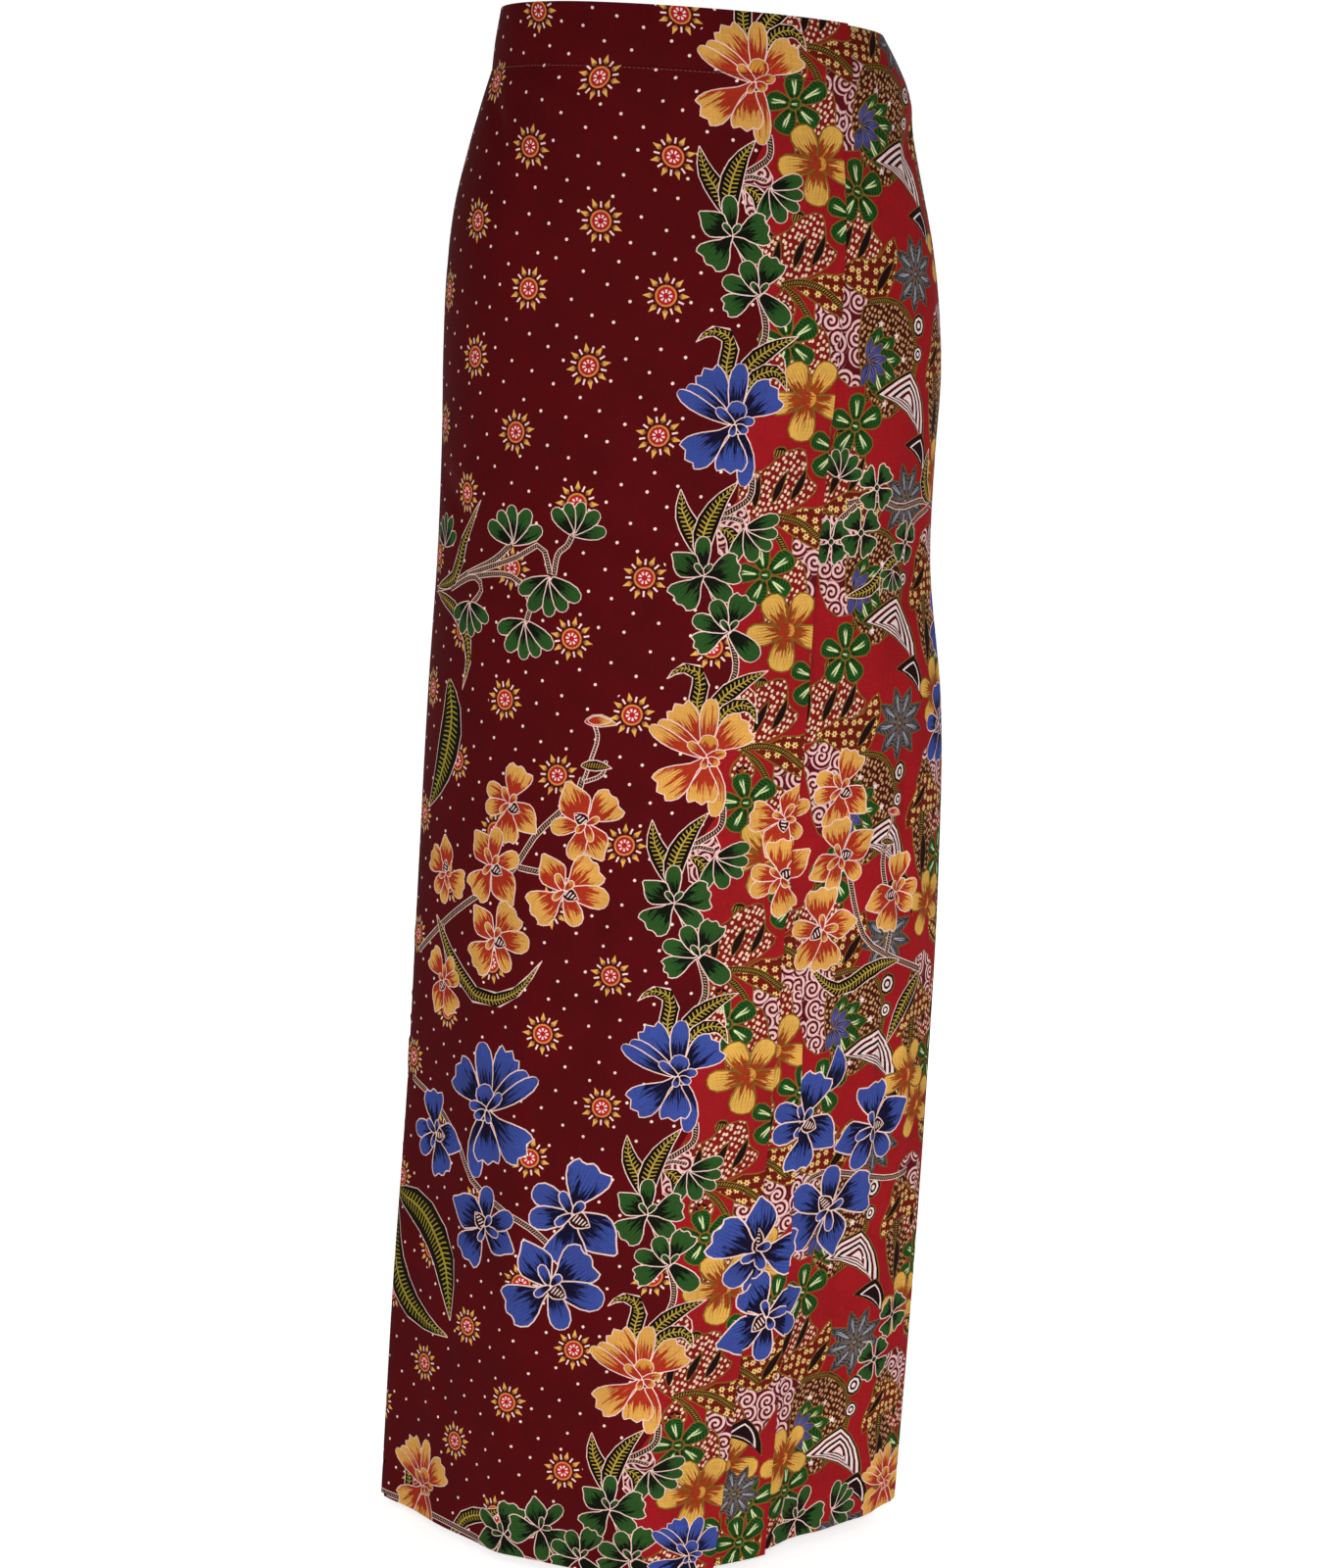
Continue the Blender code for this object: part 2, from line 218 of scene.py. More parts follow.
@dataclass(frozen=True)
class WornForm:
    """The shape that the cloth has when worn, by an angle round the body and a drop from the waist edge."""

    waist_dip: float = 0.0025
    layer_step: float = 0.0029
    edge_stand: float = 0.0050
    pleat_stand: float = 0.0035
    stand_reach: float = 11.0
    normal_reach: float = 3.0
    lap_rises_from: float = -84.0
    lap_is_full_at: float = -30.0
    band_seam: float = 0.040
    seam_pinch: float = 0.0005
    seam_reach: float = 0.0022
    hem_seam: float = LENGTH - 0.025
    hem_pinch: float = 0.0003

    @staticmethod
    def eased(value: Array) -> Array:
        """Return 0 below 0, 1 above 1, and a smooth rise between them."""
        value = np.clip(value, 0.0, 1.0)
        return value * value * (3.0 - 2.0 * value)

    @staticmethod
    def along(table: tuple, column: str, drop: Array) -> Array:
        """Read one column of a table that is ordered by drop as a smooth curve.

        Args:
            table: rows with a drop and named values.
            column: the name of the value.
            drop: drops in metres.

        Returns:
            The values, by a cubic through each pair of rows with the slopes of their neighbours.
        """
        drops = np.array([row.drop for row in table])
        values = np.array([getattr(row, column) for row in table])
        slopes = np.gradient(values, drops)
        index = np.clip(np.searchsorted(drops, drop) - 1, 0, len(drops) - 2)
        span = drops[index + 1] - drops[index]
        part = np.clip((drop - drops[index]) / span, 0.0, 1.0)
        rise = values[index + 1] - values[index]
        start = slopes[index] * span
        end = slopes[index + 1] * span
        bend = part**2 * (3 * rise - 2 * start - end) + part**3 * (start + end - 2 * rise)
        return values[index] + part * start + bend

    def bare(self, angle: Array, drop: Array) -> Array:
        """Work out the form without folds or layers.

        A section is x = half width * sin(angle) and y = half depth * (1 - |sin| ** flatness) ** corner,
        tilted.

        Args:
            angle: degrees round the body, 0 in front and 90 at the wearer's left. drop: metres below the
            waist edge.

        Returns:
            Points, with X, Y and Z on the last axis.
        """
        turn = np.radians(angle)
        across = np.sin(turn)
        x = self.along(SECTIONS, "half_width", drop) * across
        hollow = np.clip(1.0 - np.abs(across) ** self.along(SECTIONS, "flatness", drop), 0.0, 1.0)
        depth = self.along(SECTIONS, "half_depth", drop) * hollow ** self.along(SECTIONS, "corner", drop)
        dip = self.waist_dip * np.maximum(np.cos(turn), 0.0) * (1.0 - drop / LENGTH) ** 4
        z = -drop - dip - x * np.tan(np.radians(self.along(SECTIONS, "tilt", drop)))
        return np.stack([x + self.along(SECTIONS, "centre_x", drop), -depth * np.sign(np.cos(turn)), z],
                        axis=-1)

    def folds(self, angle: Array, drop: Array) -> Array:
        """Add up the long folds: a bell round a middle line, its crest rounded by the sharpness."""
        height = np.zeros(np.broadcast(angle, drop).shape)
        for fold in FOLDS:
            fade = self.eased((drop - fold.start) / (fold.full - fold.start))
            middle = fold.angle_start + (fold.angle_hem - fold.angle_start) * drop / LENGTH
            apart = (angle - middle + 180.0) % 360.0 - 180.0
            reach = np.abs(apart) / fold.width
            rounded = np.sqrt(reach**2 + (1.0 - fold.sharpness) ** 2) - (1.0 - fold.sharpness)
            height += fold.height * fade * np.exp(-1.6 * rounded * (0.6 + reach))
        return height

    def creases(self, angle: Array, drop: Array) -> Array:
        """Add up the creases: a bell across a bowed line, fading out over its two ends.

        Args:
            angle: degrees round the body.
            drop: metres below the waist edge.

        Returns:
            The height of the cloth over the folded form, in metres.
        """
        degree = 0.0027  # metres round the form
        height = np.zeros(np.broadcast(angle, drop).shape)
        for crease in CREASES:
            right = ((angle - crease.angle_from + 180.0) % 360.0 - 180.0) * degree
            down = drop - crease.drop_from
            run = (crease.angle_to - crease.angle_from) * degree
            fall = crease.drop_to - crease.drop_from
            reach = math.hypot(run, fall)
            part = (right * run + down * fall) / reach**2
            apart = (right * fall - down * run) / reach - crease.bow * (1.0 - (2.0 * part - 1.0) ** 2)
            fade = self.eased(part / 0.35) * self.eased((1.0 - part) / 0.45)
            height += 2.0 * crease.height * fade * np.exp(-((apart / (0.6 * crease.width)) ** 2))
        return height

    def seams(self, drop: Array) -> Array:
        """Draw the cloth in along the band's seam and along the stitched line of the hem."""
        band = self.seam_pinch * np.exp(-(((drop - self.band_seam) / self.seam_reach) ** 2))
        hem = self.hem_pinch * np.exp(-(((drop - self.hem_seam) / self.seam_reach) ** 2))
        return -band - hem

    def points(self, angle: Array, drop: Array, out: Array) -> Array:
        """Move the form out level by a layer's place, the folds, the creases and the seams."""
        before = self.bare(angle - self.normal_reach, drop)
        after = self.bare(angle + self.normal_reach, drop)
        way = np.stack([after[..., 1] - before[..., 1], before[..., 0] - after[..., 0]], axis=-1)
        way /= np.linalg.norm(way, axis=-1, keepdims=True)
        moved = out + self.folds(angle, drop) + self.creases(angle, drop) + self.seams(drop)
        points = self.bare(angle, drop)
        points[..., :2] += way * moved[..., None]
        return points

    def under(self, angle: Array, drop: Array) -> Array:
        """Return the place of the under front and the back, on the form itself."""
        return np.zeros(np.broadcast(angle, drop).shape)

    def pleat(self, angle: Array, drop: Array) -> Array:
        """Return the place of the pleat: one layer out, its edge standing away where it fans out."""
        apart = (angle - self.along(PLEAT_EDGE, "angle", drop)) / self.stand_reach
        stand = self.pleat_stand * self.eased((drop - 0.55) / 0.4) * np.exp(-(apart**2))
        return self.layer_step + stand

    def wrap(self, angle: Array, drop: Array) -> Array:
        """Return the place of the wrap: over the pleat, its free edge standing a little away below."""
        lap = self.eased((angle - self.lap_rises_from) / (self.lap_is_full_at - self.lap_rises_from))
        apart = (angle - self.along(WRAP_EDGE, "angle", drop)) / self.stand_reach
        stand = self.edge_stand * self.eased((drop - 0.25) / 0.7) * np.exp(-(apart**2))
        return lap * (self.pleat(angle, drop) + self.layer_step) + stand


class Layer(Enum):
    """The layer of cloth that a piece lies in."""

    UNDER = "under"
    PLEAT = "pleat"
    WRAP = "wrap"


@dataclass(frozen=True)
class ClothMap:
    """Carries places of the print to angles and drops, by the length of the form round each level."""

    form: WornForm
    first_angle: float = -120.0
    last_angle: float = 290.0
    angle_step: float = 1.0
    drop_step: float = 10.0
    reach_step: float = 2.0

    @cached_property
    def tables(self) -> tuple[Array, Array, Array, Array]:
        """Return the angles, the table of U for each, the even U values and the angles for each."""
        angles = np.arange(self.first_angle, self.last_angle + self.angle_step, self.angle_step)
        drops = np.arange(0.0, LENGTH / MM + self.drop_step, self.drop_step) * MM
        level, down = np.meshgrid(angles, np.minimum(drops, LENGTH))
        points = self.form.bare(level, down)
        step = np.linalg.norm(np.diff(points[..., :2], axis=1), axis=-1) / MM
        reach = np.concatenate([np.zeros((len(drops), 1)), np.cumsum(step, axis=1)], axis=1)
        edge = self.form.along(WRAP_EDGE, "angle", np.minimum(drops, LENGTH))
        zero = np.array([np.interp(a, angles, row) for a, row in zip(edge, reach)])
        reach -= zero[:, None]
        places = np.arange(reach[:, 0].min(), reach[:, -1].max(), self.reach_step)
        turned = np.array([np.interp(places, row, angles) for row in reach])
        return angles, reach, places, turned

    def read(self, table: Array, first: float, step: float, across: Array, drop: Array) -> Array:
        """Read a table between its rows and columns, each weighted by its nearness."""
        row = np.clip(drop / self.drop_step, 0, len(table) - 1.001)
        column = np.clip((across - first) / step, 0, table.shape[1] - 1.001)
        i, j = row.astype(int), column.astype(int)
        down, right = row - i, column - j
        upper = table[i, j] * (1 - right) + table[i, j + 1] * right
        lower = table[i + 1, j] * (1 - right) + table[i + 1, j + 1] * right
        return upper * (1 - down) + lower * down

    def reach(self, angle: Array, drop: Array) -> Array:
        """Return U in millimetres at angles in degrees and drops in millimetres."""
        angles, reach, _, _ = self.tables
        return self.read(reach, angles[0], self.angle_step, angle, drop)

    def angle(self, across: Array, drop: Array) -> Array:
        """Return the angle in degrees at U and V in millimetres."""
        _, _, places, turned = self.tables
        return self.read(turned, places[0], self.reach_step, across, drop)


# Inks: the colours of the print and the patterns that fill its shapes


class Fill(Enum):
    """How a shape of the print is filled."""

    PLAIN = "plain"
    DOTTED = "dotted"
    SUN = "sun"
    STREAKED = "streaked"
    VEINED = "veined"
    DASHED = "dashed"
    GRAINS = "grains"
    SCROLLS = "scrolls"
    STARRED = "starred"
    SHINING = "shining"
    SPANGLED = "spangled"


@dataclass(frozen=True)
class Ink:
    """One finish of the printed cloth: its fill and its sRGB colours."""

    name: str
    fill: Fill
    ground: str
    mark: str = "#000000"
    accent: str = "#000000"
    count: float = 1.0
    strength: float = 0.5


MAROON = Ink("maroon", Fill.DOTTED, "#50080D", "#F2D6C6")
SUN = Ink("sun", Fill.SUN, "#50080D", "#DCA850", "#A81C20")
RED = Ink("red", Fill.PLAIN, "#90161B", accent="#761015")
PALE = Ink("pale_line", Fill.PLAIN, "#E8C4BA")
OLIVE = Ink("olive_line", Fill.PLAIN, "#77571F")
BLACK = Ink("black", Fill.PLAIN, "#1A0B0D")
WHITE = Ink("white", Fill.PLAIN, "#EAD2CE")
GOLD = Ink("gold_petal", Fill.STREAKED, "#D29C4C", "#A02C1A", "#8C2A14", 13.0, 0.60)
GOLD_CENTRE = Ink("gold_centre", Fill.STREAKED, "#C48A38", "#9C2C1C", "#86240F", 5.0, 0.62)
SOFT_GOLD = Ink("soft_gold_petal", Fill.STREAKED, "#D0A04A", "#8C3A16", "#7C2A10", 8.0, 0.40)
BLUE = Ink("blue_petal", Fill.STREAKED, "#36478E", "#0D0D22", "#10163C", 13.0, 0.50)
GREEN = Ink("green_petal", Fill.STREAKED, "#274C20", "#080F08", "#0A200E", 10.0, 0.50)
BRIGHT_GREEN = Ink("bright_green_petal", Fill.SHINING, "#1B4A1A", "#D2D8A0", "#0A1E0C", 8.0)
GREY = Ink("grey_petal", Fill.SHINING, "#2E2C30", "#9A989C", "#626066", 7.0)
VIOLET = Ink("violet_petal", Fill.STREAKED, "#34386E", "#12122A", "#7C7CB4", 5.0, 0.30)
LEAF = Ink("leaf", Fill.VEINED, "#0F0A08", "#B0973A", count=2.9)
BIG_LEAF = Ink("big_leaf", Fill.VEINED, "#12100A", "#9C8E2C", count=3.6)
STEM = Ink("stem", Fill.DASHED, "#170E0D", "#B08C74", count=1.9)
BAND = Ink("band", Fill.DASHED, "#15100A", "#A07C30", count=1.7)
HATCH = Ink("hatch", Fill.DASHED, "#2A0C10", "#EBCFC6", count=2.4)
GRAIN = Ink("grain", Fill.GRAINS, "#7A1614", "#E6BEA2", "#3A0A08")
BROWN_GRAIN = Ink("brown_grain", Fill.GRAINS, "#3E160C", "#C08C62", "#1E0905")
SCROLL = Ink("scroll", Fill.SCROLLS, "#560E16", "#DDB4B2", count=12.5)
STARRED = Ink("starred", Fill.STARRED, "#58160F", "#DDB866", "#A8702A", count=6.0)
SPANGLED = Ink("spangled", Fill.SPANGLED, "#62160F", "#E0BC72", "#2A0A06")


@dataclass
class Shape:
    """An outline of the print in millimetres, its ink, and the line and half widths that its fill follows."""

    outline: Array
    ink: Ink
    spine: Array
    breadth: Array
    chance: float = 0.0

    def placed(self, move: Array, turn: Array, size: float, chance: float) -> "Shape":
        """Return the shape turned, sized and moved, with its own chance."""
        return Shape(
            self.outline @ turn.T * size + move,
            self.ink,
            self.spine @ turn.T * size + move,
            self.breadth * size,
            (self.chance + chance) % 1.0,
        )

    def local(self, places: Array) -> Array:
        """Work out where places lie in the shape.

        Args:
            places: points in millimetres.

        Returns:
            The share of the spine's length, or the millimetres along it for a fill with a spacing, the
            share of the half width, and the chance.
        """
        start, step = self.spine[:-1], np.diff(self.spine, axis=0)
        length = np.linalg.norm(step, axis=1)
        before = np.concatenate([[0.0], np.cumsum(length)])
        off = places[:, None, :] - start[None]
        part = np.clip((off * step).sum(-1) / length**2, 0.0, 1.0)
        miss = off - part[..., None] * step
        best = (miss**2).sum(-1).argmin(1)
        row = np.arange(len(places))
        part, miss = part[row, best], miss[row, best]
        side = (step[best, 0] * miss[:, 1] - step[best, 1] * miss[:, 0]) / length[best]
        along = before[best] + part * length[best]
        half = np.interp(along, before, self.breadth)
        span = 1.0 if self.ink.fill in (Fill.VEINED, Fill.DASHED, Fill.STARRED) else before[-1]
        return np.stack([along / span, side / half, np.full(len(places), self.chance)], axis=-1)


Drawing = list[Shape]


class Cut(Enum):
    """The way that a petal's or leaf's half width runs along it."""

    LEAF = "leaf"
    CLUB = "club"
    ROUND = "round"
    LOBED = "lobed"
    SPADE = "spade"
    STEM = "stem"


# Outlines of the wavy petals: shares of the length, and offsets as shares of the width
WAVES = {
    Cut.LOBED: ((0.0, 0.07), (0.24, 0.15), (0.48, 0.36), (0.74, 0.50), (0.93, 0.43), (0.90, 0.22),
                (1.0, 0.02), (0.92, -0.18), (0.96, -0.34), (0.76, -0.50), (0.50, -0.40), (0.24, -0.18),
                (0.0, -0.07)),
    Cut.SPADE: ((0.0, 0.08), (0.20, 0.26), (0.42, 0.48), (0.62, 0.42), (0.80, 0.27), (1.0, 0.03),
                (0.84, -0.18), (0.70, -0.38), (0.46, -0.50), (0.20, -0.30), (0.0, -0.08)),
}


def half_widths(cut: Cut, part: Array) -> Array:
    """Return the half widths of a cut, as shares of the widest, at shares of its length.

    A leaf is a sine pointed at both ends. A club grows from a thin root to a round tip, a round petal is
    fuller at the root, a wavy one fills its width from a third of its length, and a stem is even with round
    ends.
    """
    if cut is Cut.LEAF:
        return np.sin(np.pi * part**0.8) ** 0.9
    if cut is Cut.CLUB:
        return (0.34 + 0.68 * np.sin(0.5 * np.pi * part)) * np.sqrt(np.clip(1.0 - part**5, 0.0, 1.0))
    if cut is Cut.ROUND:
        return 1.3 * np.sqrt(part + 0.01) * np.sqrt(np.clip(1.0 - part**3, 0.0, 1.0))
    if cut in WAVES:
        return np.minimum(0.20 + 1.6 * part, 1.0)
    return np.clip(part * (1.0 - part) * 60.0, 0.0, 1.0) ** 0.5


def bent_line(length: float, bend: float, count: int = 13) -> Array:
    """Return a line from the origin along +U whose direction turns evenly by bend degrees."""
    part = np.linspace(0.0, 1.0, count)
    turn = np.radians(bend) * part
    step = length / (count - 1) * np.stack([np.cos(turn), np.sin(turn)], axis=-1)
    return np.concatenate([[[0.0, 0.0]], np.cumsum(step[1:], axis=0)])


def smooth_line(points: tuple, count: int) -> Array:
    """Return a smooth line through points: cubic pieces with the slopes of their neighbours."""
    points = np.array(points, float)
    knots = np.arange(len(points), dtype=float)
    slopes = np.gradient(points, axis=0)
    at = np.linspace(0.0, knots[-1], count)
    i = np.clip(at.astype(int), 0, len(points) - 2)
    part = (at - i)[:, None]
    rise = points[i + 1] - points[i]
    curve = part * slopes[i] + part**2 * (3 * rise - 2 * slopes[i] - slopes[i + 1])
    return points[i] + curve + part**3 * (slopes[i] + slopes[i + 1] - 2 * rise)


def ribbon(spine: Array, width: float, cut: Cut, line: Ink | None, fill: Ink, edge: float,
           count: int) -> Drawing:
    """Draw a petal, leaf or stem along a spine.

    Its sides stand off the spine by the cut's half widths. The outline is drawn whole, and the fill inside
    it is narrower by the edge all round.

    Args:
        spine: the line in millimetres. width: the widest width. cut: how the width runs. line: the ink of
        the outline, or None. fill: the ink inside. edge: the outline's width. count: points along each
        side.

    Returns:
        The outline's shape, if any, and the fill's.
    """
    run = np.concatenate([[0.0], np.cumsum(np.linalg.norm(np.diff(spine, axis=0), axis=1))])
    part = run / run[-1]
    fine = np.linspace(0.0, 1.0, 81)
    half = 0.5 * width * half_widths(cut, fine)
    breadth = np.maximum(np.interp(part, fine, half), 0.12 * width)
    direction = np.gradient(spine, axis=0)
    direction /= np.linalg.norm(direction, axis=1, keepdims=True)
    if cut in WAVES:
        at, off = smooth_line(WAVES[cut] + WAVES[cut][:1], 3 * count)[:-1].T
        middle = np.stack([np.interp(at, part, spine[:, k]) for k in (0, 1)], axis=-1)
        way = np.stack([np.interp(at, part, direction[:, k]) for k in (0, 1)], axis=-1)
        ring = middle + np.stack([-way[:, 1], way[:, 0]], axis=-1) * off[:, None] * width
        return [Shape(ring, line, spine, breadth), Shape(inset(ring, edge), fill, spine, breadth)]
    drawing = []
    for ink, less in ((line, 0.0), (fill, edge if line else 0.0)):
        if ink is None:
            continue
        room = np.flatnonzero(half - less > 0.08)
        if len(room) < 3:
            continue
        first = max(fine[room[0]], less / run[-1])
        last = min(fine[room[-1]], 1.0 - less / run[-1])
        at = first + (last - first) * 0.5 * (1.0 - np.cos(np.linspace(0.0, np.pi, count)))
        side = np.clip(np.interp(at, fine, half) - less, 0.0, None)
        side[[0, -1]] = np.minimum(side[[0, -1]], 0.25 * side.max())
        middle = np.stack([np.interp(at, part, spine[:, k]) for k in (0, 1)], axis=-1)
        way = np.stack([np.interp(at, part, direction[:, k]) for k in (0, 1)], axis=-1)
        off = np.stack([-way[:, 1], way[:, 0]], axis=-1) * side[:, None]
        outline = np.concatenate([middle + off, (middle - off)[::-1]])
        drawing.append(Shape(outline, ink, spine, breadth))
    return drawing


def disc(radius: float, ink: Ink, count: int = 14, u: float = 0.0, v: float = 0.0) -> Shape:
    """Return a disc whose fill coordinates run across it from 0 to 1 and from -1 to 1."""
    turn = np.linspace(0.0, 2.0 * np.pi, count, endpoint=False)
    outline = np.stack([u + radius * np.cos(turn), v + radius * np.sin(turn)], axis=-1)
    spine = np.array([[u - radius, v], [u + radius, v]])
    return Shape(outline, ink, spine, np.full(2, radius))


def patch(points: tuple, ink: Ink, count: int = 24, spine: tuple | None = None,
          breadth: float = 8.0) -> Shape:
    """Return a closed shape through points, rounded as one smooth line."""
    ring = smooth_line(tuple(points) + (points[0],), count)[:-1]
    line = np.array(spine if spine else (points[0], points[len(points) // 2]), float)
    return Shape(ring, ink, line, np.full(len(line), breadth))


def turned(drawing: Drawing, u: float = 0.0, v: float = 0.0, turn: float = 0.0, size: float = 1.0,
           flip: bool = False, chance: float = 0.0) -> Drawing:
    """Return a drawing placed in millimetres, turned clockwise by degrees, sized and maybe mirrored."""
    c, s = math.cos(math.radians(turn)), math.sin(math.radians(turn))
    matrix = np.array([[c, -s], [s, c]]) @ np.diag([1.0, -1.0 if flip else 1.0])
    return [shape.placed(np.array([u, v]), matrix, size, chance) for shape in drawing]


@dataclass(frozen=True)
class Petal:
    """A petal: its turn in degrees, length and width in millimetres, bend, cut and root's distance."""

    turn: float
    length: float
    width: float
    bend: float = 0.0
    cut: Cut = Cut.CLUB
    root: float = 1.5


@dataclass(frozen=True)
class Flower:
    """A flower of overlapping petals round its centre, outlined in one ink."""

    petals: tuple[Petal, ...]
    line: Ink = PALE
    edge: float = 0.75
    points: int = 9

    def draw(self, fill: Ink) -> Drawing:
        """Draw the petals round the origin, the first one lowest."""
        drawing = []
        for k, petal in enumerate(self.petals):
            shapes = ribbon(bent_line(petal.length, petal.bend), petal.width, petal.cut, self.line, fill,
                            self.edge, self.points)
            root = np.array([math.cos(math.radians(petal.turn)),
                             math.sin(math.radians(petal.turn))]) * petal.root
            drawing += turned(shapes, root[0], root[1], petal.turn, chance=0.37 * k)
        return drawing


BORDER_ORCHID = Flower((
    Petal(54, 40, 14, 46, Cut.CLUB, 2),
    Petal(92, 31, 21, -6, Cut.LOBED, 1),
    Petal(138, 37, 24, 4, Cut.LOBED, 1),
    Petal(312, 34, 25, 8, Cut.LOBED, 1),
    Petal(240, 41, 20, -8, Cut.LOBED, 1),
    Petal(266, 37, 15, 8, Cut.CLUB, 2),
    Petal(221, 38, 13, -12, Cut.CLUB, 2),
    Petal(200, 41, 12, 14, Cut.CLUB, 2),
))
ORCHID_HEART = Flower((
    Petal(262, 17, 15, 24, Cut.ROUND, -2),
    Petal(214, 16, 8, 8, Cut.CLUB, 0),
    Petal(330, 13, 8, 40, Cut.CLUB, 0),
    Petal(20, 9, 7, 30, Cut.ROUND, 1),
    Petal(100, 8, 6, 0, Cut.ROUND, 0),
), edge=0.65, points=6)
SPRAY_ORCHID = Flower((
    Petal(284, 26, 22, 6, Cut.LOBED, 0),
    Petal(30, 28, 20, 10, Cut.SPADE, 0),
    Petal(96, 26, 22, -4, Cut.LOBED, 0),
    Petal(212, 21, 14, -16, Cut.CLUB, 1),
    Petal(160, 20, 14, 14, Cut.CLUB, 1),
), points=8)
SECOND_ORCHID = Flower((
    Petal(232, 26, 20, -8, Cut.SPADE, 0),
    Petal(272, 23, 14, 12, Cut.CLUB, 1),
    Petal(344, 22, 14, -10, Cut.CLUB, 1),
    Petal(46, 30, 22, 6, Cut.SPADE, 0),
    Petal(126, 26, 23, 0, Cut.LOBED, 0),
), points=8)
THIRD_ORCHID = Flower((
    Petal(226, 27, 19, 10, Cut.SPADE, 0),
    Petal(316, 26, 23, 0, Cut.LOBED, 0),
    Petal(6, 27, 17, 6, Cut.CLUB, 1),
    Petal(62, 22, 14, 12, Cut.CLUB, 1),
    Petal(140, 27, 24, 4, Cut.LOBED, 0),
), points=8)
SPRAY_HEART = Flower((
    Petal(225, 13, 7, 24, Cut.CLUB, -1),
    Petal(150, 10, 6, -20, Cut.CLUB, 0),
    Petal(300, 8, 6, 20, Cut.ROUND, 0),
), edge=0.65, points=6)
GREEN_ORCHID = Flower((
    Petal(36, 24, 15, 10, Cut.CLUB, 1),
    Petal(126, 25, 23, 4, Cut.LOBED, 0),
    Petal(348, 25, 22, -6, Cut.LOBED, 0),
    Petal(264, 24, 13, 4, Cut.CLUB, 1),
    Petal(207, 25, 18, 8, Cut.SPADE, 0),
), points=8)
GREEN_HEART = Flower((
    Petal(296, 10, 5.5, 24, Cut.ROUND, -1),
    Petal(244, 10, 5.5, -24, Cut.ROUND, -1),
), edge=0.65, points=6)
SECOND_GREEN_ORCHID = Flower((
    Petal(40, 26, 17, 6, Cut.CLUB, 1),
    Petal(156, 25, 16, -6, Cut.LOBED, 0),
    Petal(198, 24, 14, 0, Cut.CLUB, 1),
    Petal(238, 22, 14, 8, Cut.CLUB, 1),
    Petal(290, 26, 18, 4, Cut.LOBED, 0),
), points=8)
GREEN_FAN = Flower((
    Petal(108, 25, 13, -10, Cut.CLUB, 0),
    Petal(70, 25, 14, -4, Cut.CLUB, 0),
    Petal(34, 24, 12, 0, Cut.CLUB, 0),
    Petal(4, 23, 12, 6, Cut.CLUB, 0),
    Petal(332, 24, 13, 10, Cut.CLUB, 0),
), points=7)
FOUR_PETALS = Flower((
    Petal(38, 17, 17, 0, Cut.LOBED, 0),
    Petal(124, 17, 17, 0, Cut.LOBED, 0),
    Petal(216, 17, 17, 0, Cut.LOBED, 0),
    Petal(306, 17, 17, 0, Cut.LOBED, 0),
), points=7)
GOLD_FLOWER = Flower((
    Petal(98, 26, 22, 0, Cut.CLUB, 2),
    Petal(168, 26, 19, 6, Cut.CLUB, 2),
    Petal(238, 25, 21, 0, Cut.CLUB, 2),
    Petal(302, 26, 20, -6, Cut.CLUB, 2),
    Petal(14, 26, 20, 0, Cut.CLUB, 2),
), OLIVE, 1.2, 7)
HEAD_FLOWER = Flower((
    Petal(40, 18, 18, 0, Cut.CLUB, 3),
    Petal(110, 18, 18, 0, Cut.CLUB, 3),
    Petal(184, 17, 16, 0, Cut.CLUB, 3),
    Petal(252, 18, 16, 0, Cut.CLUB, 3),
    Petal(322, 19, 19, 0, Cut.CLUB, 3),
), OLIVE, 1.0, 6)
STAR_FLOWER = Flower(tuple(Petal(12 + 40 * k, 21, 11, 0, Cut.LEAF, 3) for k in range(9)), OLIVE, 0.6, 5)


def inset(ring: Array, by: float) -> Array:
    """Return a closed outline moved inwards by a distance, along the normals of its points."""
    along = np.roll(ring, -1, axis=0) - np.roll(ring, 1, axis=0)
    way = np.stack([-along[:, 1], along[:, 0]], axis=-1) / np.linalg.norm(along, axis=1, keepdims=True)
    after = np.roll(ring, -1, axis=0)
    area = 0.5 * (ring[:, 0] * after[:, 1] - after[:, 0] * ring[:, 1]).sum()
    return ring + way * by * np.sign(area)


def lined(shape: Shape, line: Ink, edge: float) -> Drawing:
    """Return a closed shape as its outline in one ink and its fill inside it."""
    return [replace(shape, ink=line), replace(shape, outline=inset(shape.outline, edge))]


def leaf(length: float, width: float, bend: float = 0.0, ink: Ink = LEAF, line: Ink = PALE, edge: float = 0.7,
         count: int = 7) -> Drawing:
    """Draw a leaf along an evenly bent line from the origin."""
    return ribbon(bent_line(length, bend), width, Cut.LEAF, line, ink, edge, count)


def path_leaf(points: tuple, width: float, ink: Ink = LEAF, line: Ink = PALE, count: int = 11) -> Drawing:
    """Draw a leaf along a smooth line through points."""
    return ribbon(smooth_line(points, 5 * len(points)), width, Cut.LEAF, line, ink, 0.7, count)


def stem(points: tuple, width: float = 4.6, ink: Ink = STEM, line: Ink = PALE) -> Drawing:
    """Draw a stem along a smooth line through points."""
    return ribbon(smooth_line(points, 5 * len(points)), width, Cut.STEM, line, ink, 0.65, 4 * len(points))


def star(radius: float, ink: Ink, u: float = 0.0, v: float = 0.0) -> Shape:
    """Return a five-pointed star round a place."""
    turn = np.linspace(0.0, 2.0 * np.pi, 10, endpoint=False)
    reach = radius * np.where(np.arange(10) % 2, 0.45, 1.0)
    outline = np.stack([u + reach * np.sin(turn), v - reach * np.cos(turn)], axis=-1)
    return Shape(outline, ink, np.array([[u, v], [u + radius, v]]), np.full(2, radius))


